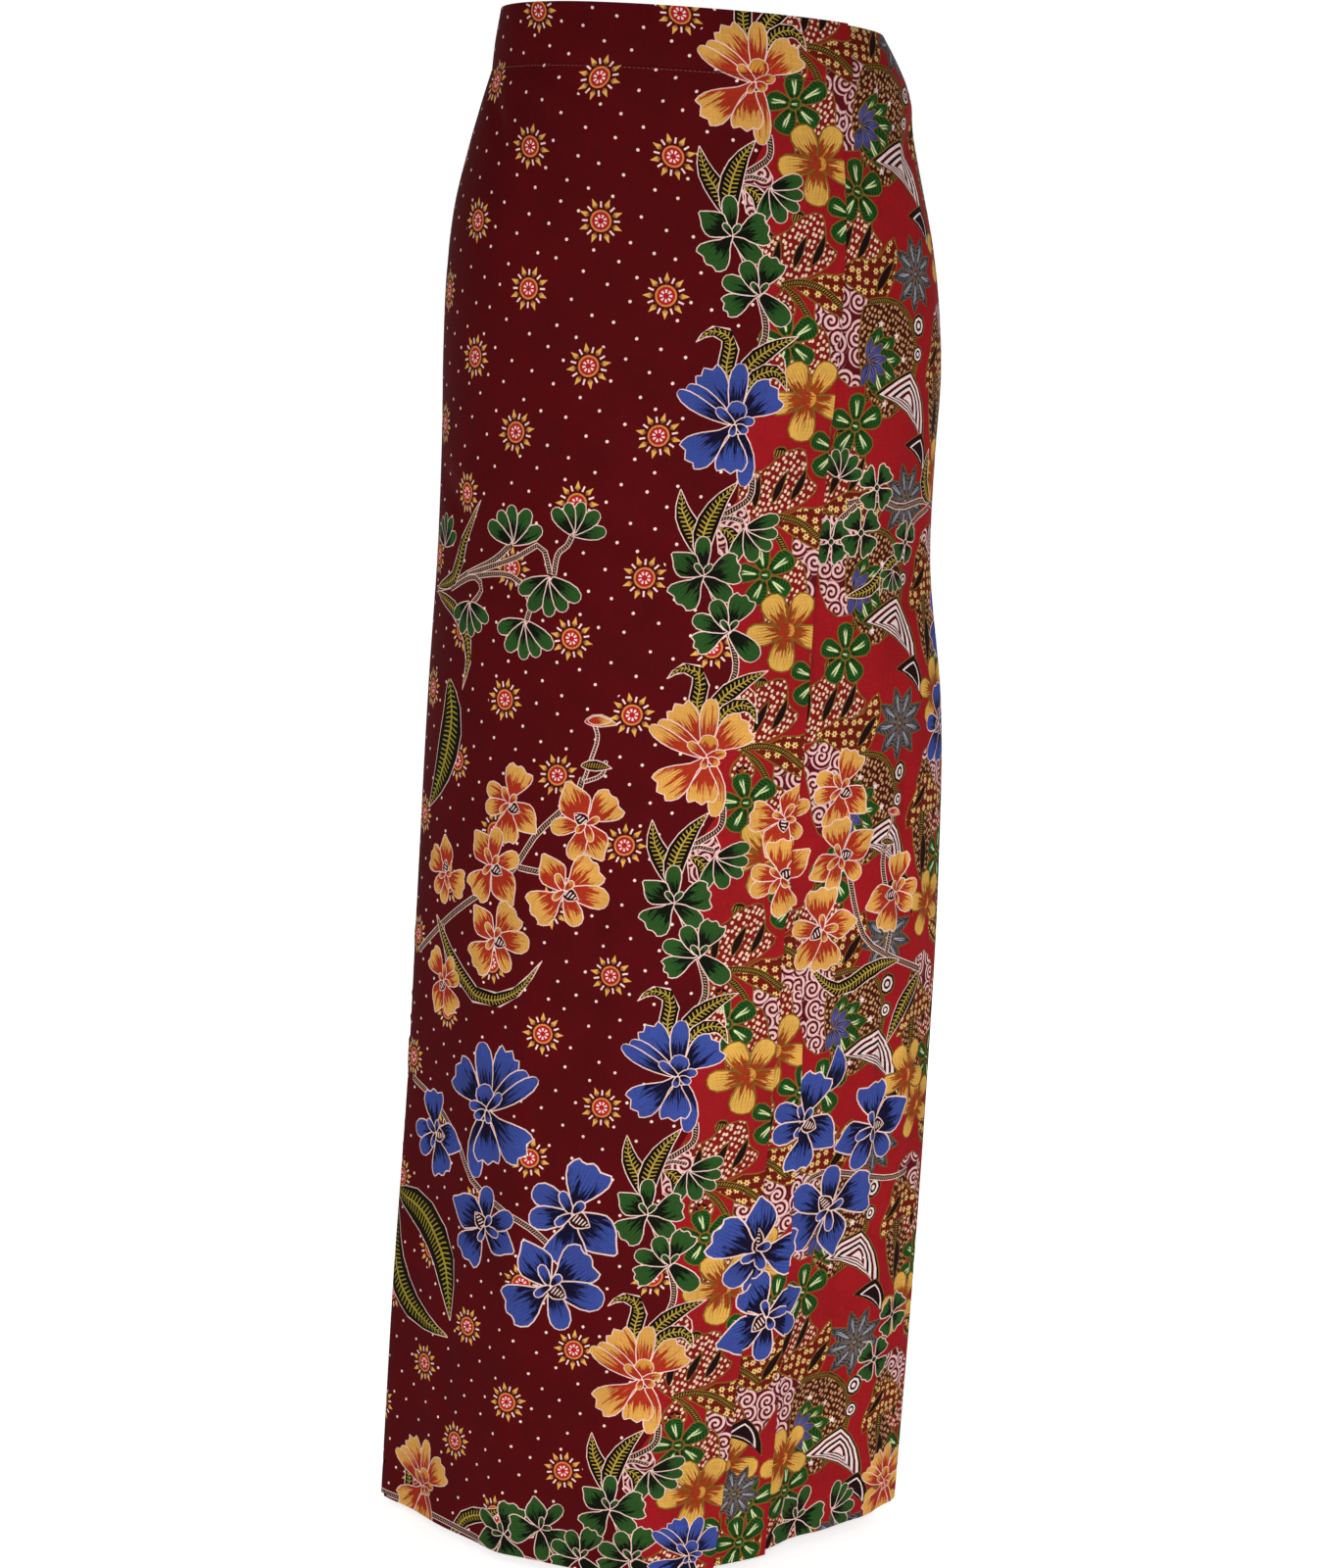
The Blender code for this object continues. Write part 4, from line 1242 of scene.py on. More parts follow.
class Wires:
    """A node tree with short ways to place and join its nodes."""

    def __init__(self, tree: bpy.types.NodeTree) -> None:
        """Keep the tree."""
        self.tree = tree

    def node(self, kind: str, **settings: object) -> bpy.types.Node:
        """Place a node and give it its settings."""
        node = self.tree.nodes.new(kind)
        for name, value in settings.items():
            setattr(node, name, value)
        return node

    def feed(self, socket: Socket, value: object) -> None:
        """Join a socket to another, or give it a plain value."""
        if isinstance(value, Socket):
            self.tree.links.new(value, socket)
        else:
            socket.default_value = value

    def math(self, operation: str, *values: object) -> Socket:
        """Return one operation on numbers."""
        node = self.node("ShaderNodeMath", operation=operation)
        for socket, value in zip(node.inputs, values):
            self.feed(socket, value)
        return node.outputs[0]

    def times(self, first: object, second: object) -> Socket:
        """Return first * second."""
        return self.math("MULTIPLY", first, second)

    def plus(self, first: object, second: object) -> Socket:
        """Return first + second."""
        return self.math("ADD", first, second)

    def minus(self, first: object, second: object) -> Socket:
        """Return first - second."""
        return self.math("SUBTRACT", first, second)

    def line(self, value: object, slope: object, start: object) -> Socket:
        """Return value * slope + start."""
        return self.math("MULTIPLY_ADD", value, slope, start)

    def size(self, value: object) -> Socket:
        """Return the value without its sign."""
        return self.math("ABSOLUTE", value)

    def part(self, value: object) -> Socket:
        """Return what the value has past its whole number."""
        return self.math("FRACT", value)

    def rise(self, value: object, low: float, high: float) -> Socket:
        """Return 0 below low, 1 above high and a smooth rise between; it falls where low is over high."""
        node = self.node("ShaderNodeMapRange", interpolation_type="SMOOTHSTEP")
        falls = low > high
        settings = (value, min(low, high), max(low, high), float(falls), float(not falls))
        for socket, given in zip(node.inputs, settings):
            self.feed(socket, given)
        return node.outputs[0]

    def vector(self, x: object, y: object, z: object = 0.0) -> Socket:
        """Return a vector of three numbers."""
        node = self.node("ShaderNodeCombineXYZ")
        for socket, value in zip(node.inputs, (x, y, z)):
            self.feed(socket, value)
        return node.outputs[0]

    def parts(self, vector: object) -> tuple:
        """Return the three numbers of a vector."""
        node = self.node("ShaderNodeSeparateXYZ")
        self.feed(node.inputs[0], vector)
        return tuple(node.outputs)

    def noise(self, vector: object, scale: float, detail: float = 2.0) -> Socket:
        """Return a noise from 0 to 1."""
        node = self.node("ShaderNodeTexNoise")
        self.feed(node.inputs["Vector"], vector)
        node.inputs["Scale"].default_value = scale
        node.inputs["Detail"].default_value = detail
        return node.outputs[0]

    def cells(self, vector: object, randomness: float) -> bpy.types.Node:
        """Return a flat Voronoi texture of unit cells."""
        node = self.node("ShaderNodeTexVoronoi", voronoi_dimensions="2D")
        self.feed(node.inputs["Vector"], vector)
        node.inputs["Scale"].default_value = 1.0
        node.inputs["Randomness"].default_value = randomness
        return node

    def around(self, place: object, size: object, randomness: float) -> tuple:
        """Return the distance and turn from the middle of the loose cell that a place lies in."""
        u, v, _ = self.parts(place)
        at = self.vector(self.math("DIVIDE", u, size), self.math("DIVIDE", v, size))
        away = self.node("ShaderNodeVectorMath", operation="SUBTRACT")
        self.feed(away.inputs[0], at)
        self.feed(away.inputs[1], self.cells(at, randomness).outputs["Position"])
        x, y, _ = self.parts(away.outputs[0])
        return self.polar(x, y)

    def mix(self, share: object, first: object, second: object) -> Socket:
        """Return the first colour, turned into the second by a share."""
        node = self.node("ShaderNodeMix", data_type="RGBA")
        for socket, value in zip((node.inputs[0], node.inputs[6], node.inputs[7]), (share, first, second)):
            self.feed(socket, value)
        return node.outputs[2]

    def polar(self, x: object, y: object) -> tuple:
        """Return the distance from the middle and the turn as a share of a whole one."""
        reach = self.math("SQRT", self.plus(self.times(x, x), self.times(y, y)))
        turn = self.times(self.math("ARCTAN2", y, x), 1.0 / (2.0 * math.pi))
        return reach, turn


def colour(code: str) -> tuple[float, float, float, float]:
    """Return the linear colour of an sRGB code such as #A0B0C0."""
    values = np.array([int(code[k:k + 2], 16) for k in (1, 3, 5)]) / 255.0
    linear = np.where(values <= 0.04045, values / 12.92, ((values + 0.055) / 1.055) ** 2.4)
    return (*linear.tolist(), 1.0)


class InkGroups:
    """The node groups that fill the shapes of the print, each built once."""

    inputs = (("Place", "NodeSocketVector"), ("Motif", "NodeSocketVector"), ("Ground", "NodeSocketColor"),
              ("Mark", "NodeSocketColor"), ("Accent", "NodeSocketColor"), ("Count", "NodeSocketFloat"),
              ("Strength", "NodeSocketFloat"))

    def __init__(self) -> None:
        """Start with no group."""
        self.built: dict[Fill, bpy.types.NodeTree] = {}

    def group(self, fill: Fill) -> bpy.types.NodeTree:
        """Return the group of a fill, with its Color output."""
        if fill not in self.built:
            tree = bpy.data.node_groups.new(f"print_{fill.value}", "ShaderNodeTree")
            for name, kind in self.inputs:
                tree.interface.new_socket(name=name, in_out="INPUT", socket_type=kind)
            tree.interface.new_socket(name="Color", in_out="OUTPUT", socket_type="NodeSocketColor")
            wires = Wires(tree)
            given = wires.node("NodeGroupInput").outputs
            end = wires.node("NodeGroupOutput")
            wires.feed(end.inputs["Color"], getattr(self, fill.value)(wires, given))
            self.built[fill] = tree
        return self.built[fill]

    def plain(self, w: Wires, given: bpy.types.NodeOutputs) -> Socket:
        """Return the ground, a little darker in cloudy places where the dye took unevenly."""
        cloud = w.times(w.rise(w.noise(given["Place"], 0.035), 0.35, 0.75), 0.10)
        return w.mix(cloud, given["Ground"], given["Accent"])

    def dotted(self, w: Wires, given: bpy.types.NodeOutputs) -> Socket:
        """Return the ground with small dots in a loose slanting lattice."""
        u, v, _ = w.parts(given["Place"])
        right = w.plus(w.times(u, 0.053), w.times(v, 0.024))
        down = w.minus(w.times(v, 0.053), w.times(u, 0.024))
        dot = w.rise(w.cells(w.vector(right, down), 0.32).outputs["Distance"], 0.070, 0.050)
        return w.mix(dot, self.plain(w, given), given["Mark"])

    def sun(self, w: Wires, given: bpy.types.NodeOutputs) -> Socket:
        """Return a sun: a red disc, a ring of small petals, a gold ring, eight gold rays and pale bars."""
        p, q, _ = w.parts(given["Motif"])
        radius, brown = 15.5, (0.16, 0.055, 0.02, 1.0)
        reach, turn = w.polar(w.line(p, 2.0, -1.0), q)
        reach = w.times(reach, radius)
        pale = (0.85, 0.64, 0.60, 1.0)
        ray = w.size(w.minus(w.part(w.line(turn, 8.0, 8.0)), 0.5))
        across = w.times(w.times(ray, 2.0 * math.pi / 8.0), reach)
        bar = w.times(w.times(w.minus(0.5, ray), 2.0 * math.pi / 8.0), reach)
        half = w.math("MINIMUM", w.times(w.minus(reach, 7.8), 0.70),
                      w.times(w.minus(15.2, reach), 0.37))
        gold = w.rise(w.minus(across, half), 0.12, -0.12)
        white = w.times(w.rise(bar, 0.72, 0.50), w.rise(reach, 8.5, 8.8))
        white = w.times(white, w.rise(reach, 12.6, 12.3))
        made = w.mix(white, given["Ground"], pale)
        made = w.mix(gold, made, w.mix(w.rise(reach, 8.4, 11.6), brown, given["Mark"]))
        made = w.mix(w.rise(reach, 7.9, 7.7), made, given["Ground"])
        made = w.mix(w.rise(reach, 7.1, 6.9), made, w.mix(0.45, given["Mark"], given["Accent"]))
        made = w.mix(w.rise(reach, 5.9, 5.7), made, given["Accent"])
        petal = w.times(w.rise(ray, 0.30, 0.22), w.rise(w.size(w.minus(reach, 3.0)), 1.2, 0.9))
        return w.mix(petal, made, pale)

    def streaked(self, w: Wires, given: bpy.types.NodeOutputs) -> Socket:
        """Return a petal whose root colour reaches outwards in ragged streaks, with fine lines over it."""
        p, q, chance = w.parts(given["Motif"])
        across = w.times(q, w.times(given["Count"], 0.5))
        streaks = w.noise(w.vector(w.line(chance, 31.0, across), w.times(p, 1.3), chance), 1.0)
        fine = w.noise(w.vector(w.times(across, 2.6), w.times(p, 5.0), chance), 1.0, 1.0)
        reach = w.plus(p, w.line(streaks, 1.10, -0.55))
        reach = w.plus(reach, w.line(fine, 0.60, -0.30))
        root = w.rise(w.minus(reach, given["Strength"]), 0.07, -0.05)
        made = w.mix(root, given["Ground"], given["Mark"])
        line = w.size(w.minus(w.part(w.plus(across, w.times(streaks, 0.6))), 0.5))
        line = w.times(w.rise(line, 0.14, 0.06), w.rise(p, 0.95, 0.45))
        return w.mix(w.times(line, 0.75), made, given["Accent"])

    def shining(self, w: Wires, given: bpy.types.NodeOutputs) -> Socket:
        """Return a petal with hatched sides and a pale line that shines along its middle."""
        p, q, chance = w.parts(given["Motif"])
        hatch = w.line(w.size(q), 1.6, w.times(p, given["Count"]))
        hatch = w.rise(w.size(w.minus(w.part(hatch), 0.5)), 0.24, 0.12)
        hatch = w.times(w.math("MAXIMUM", hatch, w.rise(p, 0.42, 0.12)), 0.85)
        made = w.mix(w.times(hatch, w.rise(w.size(q), 0.12, 0.4)), given["Ground"], given["Accent"])
        middle = w.size(w.minus(w.size(q), w.times(p, 0.22)))
        shine = w.times(w.rise(middle, 0.10, 0.04), w.rise(p, 0.16, 0.24))
        return w.mix(w.times(shine, w.rise(p, 0.78, 0.6)), made, given["Mark"])

    def veined(self, w: Wires, given: bpy.types.NodeOutputs) -> Socket:
        """Return a dark leaf with a midrib and slanting veins, at a spacing in millimetres."""
        p, q, _ = w.parts(given["Motif"])
        side = w.size(q)
        slant = w.minus(w.math("DIVIDE", p, given["Count"]), w.times(side, 0.95))
        vein = w.size(w.minus(w.part(w.plus(slant, 8.0)), 0.5))
        vein = w.times(w.rise(vein, 0.19, 0.09), w.rise(side, 0.64, 0.52))
        return w.mix(w.math("MAXIMUM", vein, w.rise(side, 0.10, 0.05)), given["Ground"], given["Mark"])

    def dashed(self, w: Wires, given: bpy.types.NodeOutputs) -> Socket:
        """Return a dark line with a row of short slanting dashes."""
        p, q, _ = w.parts(given["Motif"])
        dash = w.size(w.minus(w.part(w.math("DIVIDE", w.plus(p, q), given["Count"])), 0.5))
        dash = w.times(w.rise(dash, 0.24, 0.14), w.rise(w.size(q), 0.5, 0.38))
        return w.mix(dash, given["Ground"], given["Mark"])

    def grains(self, w: Wires, given: bpy.types.NodeOutputs) -> Socket:
        """Return the ground strewn with slanting pale grains of about three millimetres."""
        u, v, _ = w.parts(given["Place"])
        right = w.plus(w.times(u, 0.30), w.times(v, 0.14))
        down = w.minus(w.times(v, 0.21), w.times(u, 0.10))
        away = w.cells(w.vector(right, down), 0.55).outputs["Distance"]
        grain = w.rise(away, 0.34, 0.27)
        edge = w.rise(away, 0.48, 0.42)
        made = w.mix(w.times(edge, 0.5), given["Ground"], given["Accent"])
        return w.mix(grain, made, given["Mark"])

    def scrolls(self, w: Wires, given: bpy.types.NodeOutputs) -> Socket:
        """Return the ground with a pale spiral in each loose cell."""
        reach, turn = w.around(given["Place"], given["Count"], 0.85)
        arm = w.part(w.plus(w.line(reach, 3.2, 4.0), turn))
        arm = w.rise(w.size(w.minus(arm, 0.5)), 0.29, 0.20)
        return w.mix(w.times(arm, w.rise(reach, 0.72, 0.64)), given["Ground"], given["Mark"])

    def spangled(self, w: Wires, given: bpy.types.NodeOutputs) -> Socket:
        """Return the ground strewn with small six-lobed flowers, each with a dark middle."""
        reach, turn = w.around(given["Place"], 6.5, 0.45)
        lobes = w.times(w.math("COSINE", w.times(turn, 12.0 * math.pi)), 0.07)
        made = w.mix(w.rise(w.minus(reach, lobes), 0.33, 0.26), given["Ground"], given["Mark"])
        return w.mix(w.rise(reach, 0.11, 0.08), made, given["Accent"])

    def starred(self, w: Wires, given: bpy.types.NodeOutputs) -> Socket:
        """Return a dark leaf with a row of small flowers along its middle and dots beside it."""
        p, q, _ = w.parts(given["Motif"])
        step = w.math("DIVIDE", p, given["Count"])
        x = w.minus(w.part(step), 0.5)
        reach, turn = w.polar(x, w.times(q, 1.05))
        lobes = w.times(w.math("COSINE", w.times(turn, 12.0 * math.pi)), 0.09)
        flower = w.rise(w.minus(reach, lobes), 0.36, 0.30)
        beside = w.size(w.minus(w.size(q), 0.72))
        near = w.minus(w.part(w.times(step, 2.0)), 0.5)
        dots, _ = w.polar(near, w.times(beside, 2.6))
        made = w.mix(w.rise(dots, 0.28, 0.18), given["Ground"], given["Mark"])
        made = w.mix(flower, made, given["Mark"])
        return w.mix(w.rise(reach, 0.13, 0.09), made, given["Accent"])


def cotton_group() -> bpy.types.NodeTree:
    """Build the group of printed cotton: threads, slubs, a paler reverse, and the height for a bump."""
    tree = bpy.data.node_groups.new("printed_cotton", "ShaderNodeTree")
    for name, kind, way in (("Print", "NodeSocketColor", "INPUT"), ("Place", "NodeSocketVector", "INPUT"),
                            ("Color", "NodeSocketColor", "OUTPUT"), ("Height", "NodeSocketFloat", "OUTPUT")):
        tree.interface.new_socket(name=name, in_out=way, socket_type=kind)
    w = Wires(tree)
    given = w.node("NodeGroupInput").outputs
    u, v, reverse = w.parts(given["Place"])
    thread = 2.0 * math.pi / 0.55
    warp = w.math("SINE", w.times(u, thread))
    weft = w.math("SINE", w.times(v, thread))
    weave = w.line(w.times(warp, weft), 0.5, 0.5)
    slub_u = w.noise(w.vector(w.times(u, 1.6), w.times(v, 0.09)), 1.0, 1.0)
    slub_v = w.noise(w.vector(w.times(u, 0.09), w.times(v, 1.6)), 1.0, 1.0)
    slubs = w.times(w.plus(slub_u, slub_v), 0.5)
    worn = w.noise(w.vector(u, v), 0.02, 3.0)
    dark = w.plus(w.times(w.rise(slubs, 0.62, 0.38), 0.20), w.times(w.rise(worn, 0.6, 0.4), 0.10))
    dark = w.plus(dark, w.times(weave, 0.06))
    made = w.mix(dark, given["Print"], (0.012, 0.004, 0.004, 1.0))
    made = w.mix(w.times(w.rise(reverse, 0.4, 0.6), 0.22), made, (0.42, 0.27, 0.24, 1.0))
    end = w.node("NodeGroupOutput")
    w.feed(end.inputs["Color"], made)
    w.feed(end.inputs["Height"], w.plus(w.times(weave, 0.35), slubs))
    return tree


@dataclass
class Finishes:
    """The materials of the cloth, one for each ink, and those of the thread and the floor."""

    roughness: float = 0.80
    ior: float = 1.15
    specular: float = 0.2
    bump: float = 0.22
    bump_distance: float = 0.00012
    made: dict[str, bpy.types.Material] = field(default_factory=dict)
    groups: InkGroups = field(default_factory=InkGroups)

    @cached_property
    def cotton(self) -> bpy.types.NodeTree:
        """Return the cotton group, built once."""
        return cotton_group()

    def ink(self, ink: Ink) -> bpy.types.Material:
        """Return an ink's material.

        Args:
            ink: the finish of the printed cloth.

        Returns:
            A material that fills a shape by the ink's group and lays it on cotton.
        """
        if ink.name in self.made:
            return self.made[ink.name]
        material = bpy.data.materials.new(f"print_{ink.name}")
        material.use_nodes = True
        w = Wires(material.node_tree)
        shader = material.node_tree.nodes["Principled BSDF"]
        place = w.node("ShaderNodeAttribute", attribute_name="place").outputs["Vector"]
        motif = w.node("ShaderNodeAttribute", attribute_name="motif").outputs["Vector"]
        fill = w.node("ShaderNodeGroup", node_tree=self.groups.group(ink.fill))
        for name, value in (("Place", place), ("Motif", motif), ("Ground", colour(ink.ground)),
                            ("Mark", colour(ink.mark)), ("Accent", colour(ink.accent)), ("Count", ink.count),
                            ("Strength", ink.strength)):
            w.feed(fill.inputs[name], value)
        cotton = w.node("ShaderNodeGroup", node_tree=self.cotton)
        w.feed(cotton.inputs["Print"], fill.outputs["Color"])
        w.feed(cotton.inputs["Place"], place)
        bump = w.node("ShaderNodeBump")
        bump.inputs["Strength"].default_value = self.bump
        bump.inputs["Distance"].default_value = self.bump_distance
        w.feed(bump.inputs["Height"], cotton.outputs["Height"])
        w.feed(shader.inputs["Base Color"], cotton.outputs["Color"])
        w.feed(shader.inputs["Normal"], bump.outputs["Normal"])
        shader.inputs["Roughness"].default_value = self.roughness
        shader.inputs["Specular IOR Level"].default_value = self.specular
        shader.inputs["IOR"].default_value = self.ior
        self.made[ink.name] = material
        return material

    def plain(self, name: str, code: str, roughness: float, scale: float, depth: float) -> bpy.types.Material:
        """Return a plain finish with a little noise in its colour and bump, on Object coordinates."""
        material = bpy.data.materials.new(name)
        material.use_nodes = True
        w = Wires(material.node_tree)
        shader = material.node_tree.nodes["Principled BSDF"]
        at = w.node("ShaderNodeTexCoord").outputs["Object"]
        noise = w.noise(at, scale)
        base = np.array(colour(code))
        w.feed(shader.inputs["Base Color"], w.mix(noise, tuple(base * (0.94, 0.94, 0.94, 1.0)), tuple(base)))
        bump = w.node("ShaderNodeBump")
        bump.inputs["Strength"].default_value = 0.3
        bump.inputs["Distance"].default_value = depth
        w.feed(bump.inputs["Height"], noise)
        w.feed(shader.inputs["Normal"], bump.outputs["Normal"])
        shader.inputs["Roughness"].default_value = roughness
        return material


# Cutting the print and wrapping it


def ring_area(ring: Array) -> float:
    """Return the area inside a closed outline, whichever way its points run."""
    after = np.roll(ring, -1, axis=0)
    return abs(float((ring[:, 0] * after[:, 1] - after[:, 0] * ring[:, 1]).sum())) / 2.0


def inside_on_left(ring: Array) -> Array:
    """Return a closed outline whose points run with the inside on their left, as the triangulation needs."""
    after = np.roll(ring, -1, axis=0)
    return ring if (ring[:, 0] * after[:, 1] - after[:, 0] * ring[:, 1]).sum() > 0.0 else ring[::-1]


@dataclass
class CutCloth:
    """A flat piece of printed cloth: points in millimetres, triangles and the shape that each shows."""

    places: Array
    triangles: Array
    shown: Array
    drawing: Drawing

    @classmethod
    def cut(cls, edge: Array, drawing: Drawing, grid: float, lines: list[Array]) -> "CutCloth":
        """Cut a drawing inside an edge.

        All outlines and an even grid of points are joined by one constrained triangulation. A triangle
        shows the last shape that holds it.

        Args:
            edge: the piece's outline in millimetres. drawing: shapes in painter's order; the first fills
            the ground. grid: the spacing of the points between the outlines. lines: lines that no triangle
            crosses, such as a sharp ridge of the form.

        Returns:
            The piece as triangles.
        """
        low, high = edge.min(axis=0), edge.max(axis=0)
        kept = [s for s in drawing if (s.outline.max(axis=0) > low).all()
                and (s.outline.min(axis=0) < high).all()]
        u, v = np.meshgrid(np.arange(low[0] + 0.5 * grid, high[0], grid),
                           np.arange(low[1] + 0.5 * grid, high[1], grid))
        u = u + 0.5 * grid * (np.arange(len(u))[:, None] % 2)
        loose = np.stack([u.ravel(), v.ravel()], axis=-1)
        rings = [inside_on_left(ring) for ring in [edge] + [s.outline for s in kept]]
        starts = np.cumsum([0] + [len(r) for r in rings])
        faces = [list(range(a, b)) for a, b in zip(starts[:-1], starts[1:])]
        near = [line[((line > low - grid) & (line < high + grid)).all(axis=1)] for line in lines]
        near = [line for line in near if len(line) > 1]
        ends = starts[-1] + np.cumsum([0] + [len(line) for line in near])
        edges = [(k, k + 1) for a, b in zip(ends[:-1], ends[1:]) for k in range(a, b - 1)]
        points = np.concatenate(rings + near + [loose])
        vertices, _, triangles, _, _, held = delaunay_2d_cdt(points.tolist(), edges, faces, 0, 1e-4, True)
        top = np.array([max(h) if 0 in h else -1 for h in held])
        inside = top >= 0
        triangles = np.array(triangles)[inside]
        used, triangles = np.unique(triangles, return_inverse=True)
        places = np.array([tuple(vertices[k]) for k in used])
        return cls(places, triangles.reshape(-1, 3), top[inside] - 1, kept)

    def rim(self) -> Array:
        """Return the directed edges that only one triangle has."""
        edges = np.concatenate([self.triangles[:, [0, 1]], self.triangles[:, [1, 2]],
                                self.triangles[:, [2, 0]]])
        _, first, uses = np.unique(np.sort(edges, axis=1), axis=0, return_index=True, return_counts=True)
        return edges[first[uses == 1]]

    def motif(self) -> Array:
        """Return, for each corner of each triangle, where it lies in the shape that the triangle shows."""
        values = np.zeros((len(self.triangles), 3, 3))
        order = np.argsort(self.shown, kind="stable")
        bounds = np.searchsorted(self.shown[order], np.arange(len(self.drawing) + 1))
        for shape, first, last in zip(self.drawing, bounds[:-1], bounds[1:]):
            if last > first and shape.ink.fill not in (Fill.PLAIN, Fill.DOTTED, Fill.GRAINS, Fill.SCROLLS):
                rows = order[first:last]
                values[rows] = shape.local(self.places[self.triangles[rows]].reshape(-1, 2)).reshape(-1, 3, 3)
        return values


@dataclass
class Cloth:
    """A printed piece of the skirt: a thin closed shell on its place of the worn form."""

    name: str
    layer: Layer
    drawing: Drawing
    ground: Ink
    edge: Array
    flat: tuple[float, float]
    form: WornForm
    cloth_map: ClothMap
    finishes: Finishes
    thickness: float = 0.0008
    grid: float = 8.6
    held: str = "hung"
    rests_on: tuple[str, ...] = ()

    def points(self, angle: Array, drop: Array, less: float) -> Array:
        """Return the piece's points, set in from its outer face by a distance."""
        return self.form.points(angle, drop, getattr(self.form, self.layer.value)(angle, drop) - less)

    def normals(self, angle: Array, drop: Array) -> Array:
        """Return the outward normals, by the cross product of small steps down and round the form."""
        small_angle, small_drop = 0.25, 0.0006
        right = self.points(angle + small_angle, drop, 0.0) - self.points(angle - small_angle, drop, 0.0)
        lower = np.minimum(drop + small_drop, LENGTH)
        upper = np.maximum(drop - small_drop, 0.0)
        down = self.points(angle, lower, 0.0) - self.points(angle, upper, 0.0)
        normal = np.cross(down, right)
        return normal / np.linalg.norm(normal, axis=-1, keepdims=True)

    def ridges(self) -> list[Array]:
        """Return the lines of the sharp side ridges and of the folds' crests, flat, in millimetres."""
        drop = np.arange(3.0, LENGTH / MM, 6.0)
        turns = [np.full(len(drop), side) for side in (-90.0, 90.0)]
        for fold in FOLDS:
            if fold.sharpness > 0.35:
                turns.append(fold.angle_start + (fold.angle_hem - fold.angle_start) * drop * MM / LENGTH)
        return [np.stack([self.cloth_map.reach(turn, drop), drop], axis=-1) for turn in turns]

    def build(self) -> bpy.types.Object:
        """Cut, wrap and finish the piece.

        Returns:
            The object, riding on the skirt's one body in place of the solid of the same name.
        """
        base = Shape(self.edge, self.ground, self.edge[:2], np.ones(2))
        flat = CutCloth.cut(self.edge, [base] + self.drawing, self.grid, self.ridges())
        angle = self.cloth_map.angle(flat.places[:, 0], flat.places[:, 1])
        drop = np.clip(flat.places[:, 1] * MM, 0.0, LENGTH)
        count = len(flat.places)
        outer, inner = self.points(angle, drop, 0.0), self.points(angle, drop, self.thickness)
        normals = self.normals(angle, drop)
        rim = flat.rim()
        outside, inside = flat.triangles[:, ::-1], flat.triangles + count
        strip = np.stack([rim[:, 0], rim[:, 1], rim[:, 1] + count, rim[:, 0] + count], axis=-1)
        strip = np.concatenate([strip[:, [0, 1, 2]], strip[:, [0, 2, 3]]])
        faces = np.concatenate([outside, inside, strip])
        mesh = bpy.data.meshes.new(self.name + "_cloth")
        mesh.from_pydata(np.concatenate([outer, inner]), [], faces)
        inks = [self.ground] + sorted({s.ink for s in flat.drawing} - {self.ground}, key=lambda ink: ink.name)
        for ink in inks:
            mesh.materials.append(self.finishes.ink(ink))
        ink_of = np.array([inks.index(s.ink) for s in flat.drawing])
        shown = ink_of[flat.shown]
        slots = np.concatenate([shown, shown, np.zeros(len(strip), int)])
        mesh.polygons.foreach_set("material_index", slots)
        mesh.polygons.foreach_set("use_smooth", np.ones(len(faces), bool))
        self.attributes(mesh, flat, strip, count)
        out = outer[rim].mean(axis=1) - outer.mean(axis=0)
        side = np.cross(outer[rim[:, 1]] - outer[rim[:, 0]], normals[rim[:, 0]])
        side *= np.sign((side * out).sum(-1, keepdims=True))
        side /= np.maximum(np.linalg.norm(side, axis=-1, keepdims=True), 1e-9)
        edge_normals = np.repeat(np.concatenate([side, side]), 3, axis=0)
        corner = np.concatenate([normals[outside.ravel()], -normals[(inside - count).ravel()], edge_normals])
        mesh.normals_split_custom_set(corner.tolist())
        obj = bpy.data.objects.new(self.name + "_cloth", mesh)
        bpy.context.collection.objects.link(obj)
        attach(obj, "root")
        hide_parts(self.name)
        list(self.rests_on)
        LOG.info("%s: %d shapes, %d triangles", obj.name, len(flat.drawing), len(faces))
        return obj

    def attributes(self, mesh: bpy.types.Mesh, flat: CutCloth, strip: Array, count: int) -> None:
        """Write the places of the print, the places in its shapes and the flat bake map.

        Args:
            mesh: the shell.
            flat: the cut piece.
            strip: the rim's triangles.
            count: the points of one face of the shell.
        """
        place = np.zeros((2 * count, 3))
        place[:count, :2] = flat.places
        place[count:, :2] = flat.places
        place[count:, 2] = 1.0
        mesh.attributes.new("place", "FLOAT_VECTOR", "POINT").data.foreach_set("vector", place.ravel())
        motif = flat.motif()
        whole = np.concatenate([motif[:, ::-1], motif, np.zeros((len(strip), 3, 3))])
        mesh.attributes.new("motif", "FLOAT_VECTOR", "CORNER").data.foreach_set("vector", whole.ravel())
        low = flat.places.min(axis=0)
        wide, tall = flat.places.max(axis=0) - low
        gap = 4.0
        scale = 1.0 / max(2.0 * wide + 3.0 * gap, tall + 2.0 * gap)
        outer = np.concatenate([flat.triangles[:, ::-1].ravel(), flat.triangles.ravel(),
                                strip.ravel() % count])
        bake = (flat.places[outer] - low + gap) * scale
        inner = np.zeros(len(outer), bool)
        inner[flat.triangles.size:2 * flat.triangles.size] = True
        bake[inner, 0] += (wide + gap) * scale
        bake[:, 1] = 1.0 - bake[:, 1]
        mesh.uv_layers.new(name="OFBake").data.foreach_set("uv", bake.ravel())


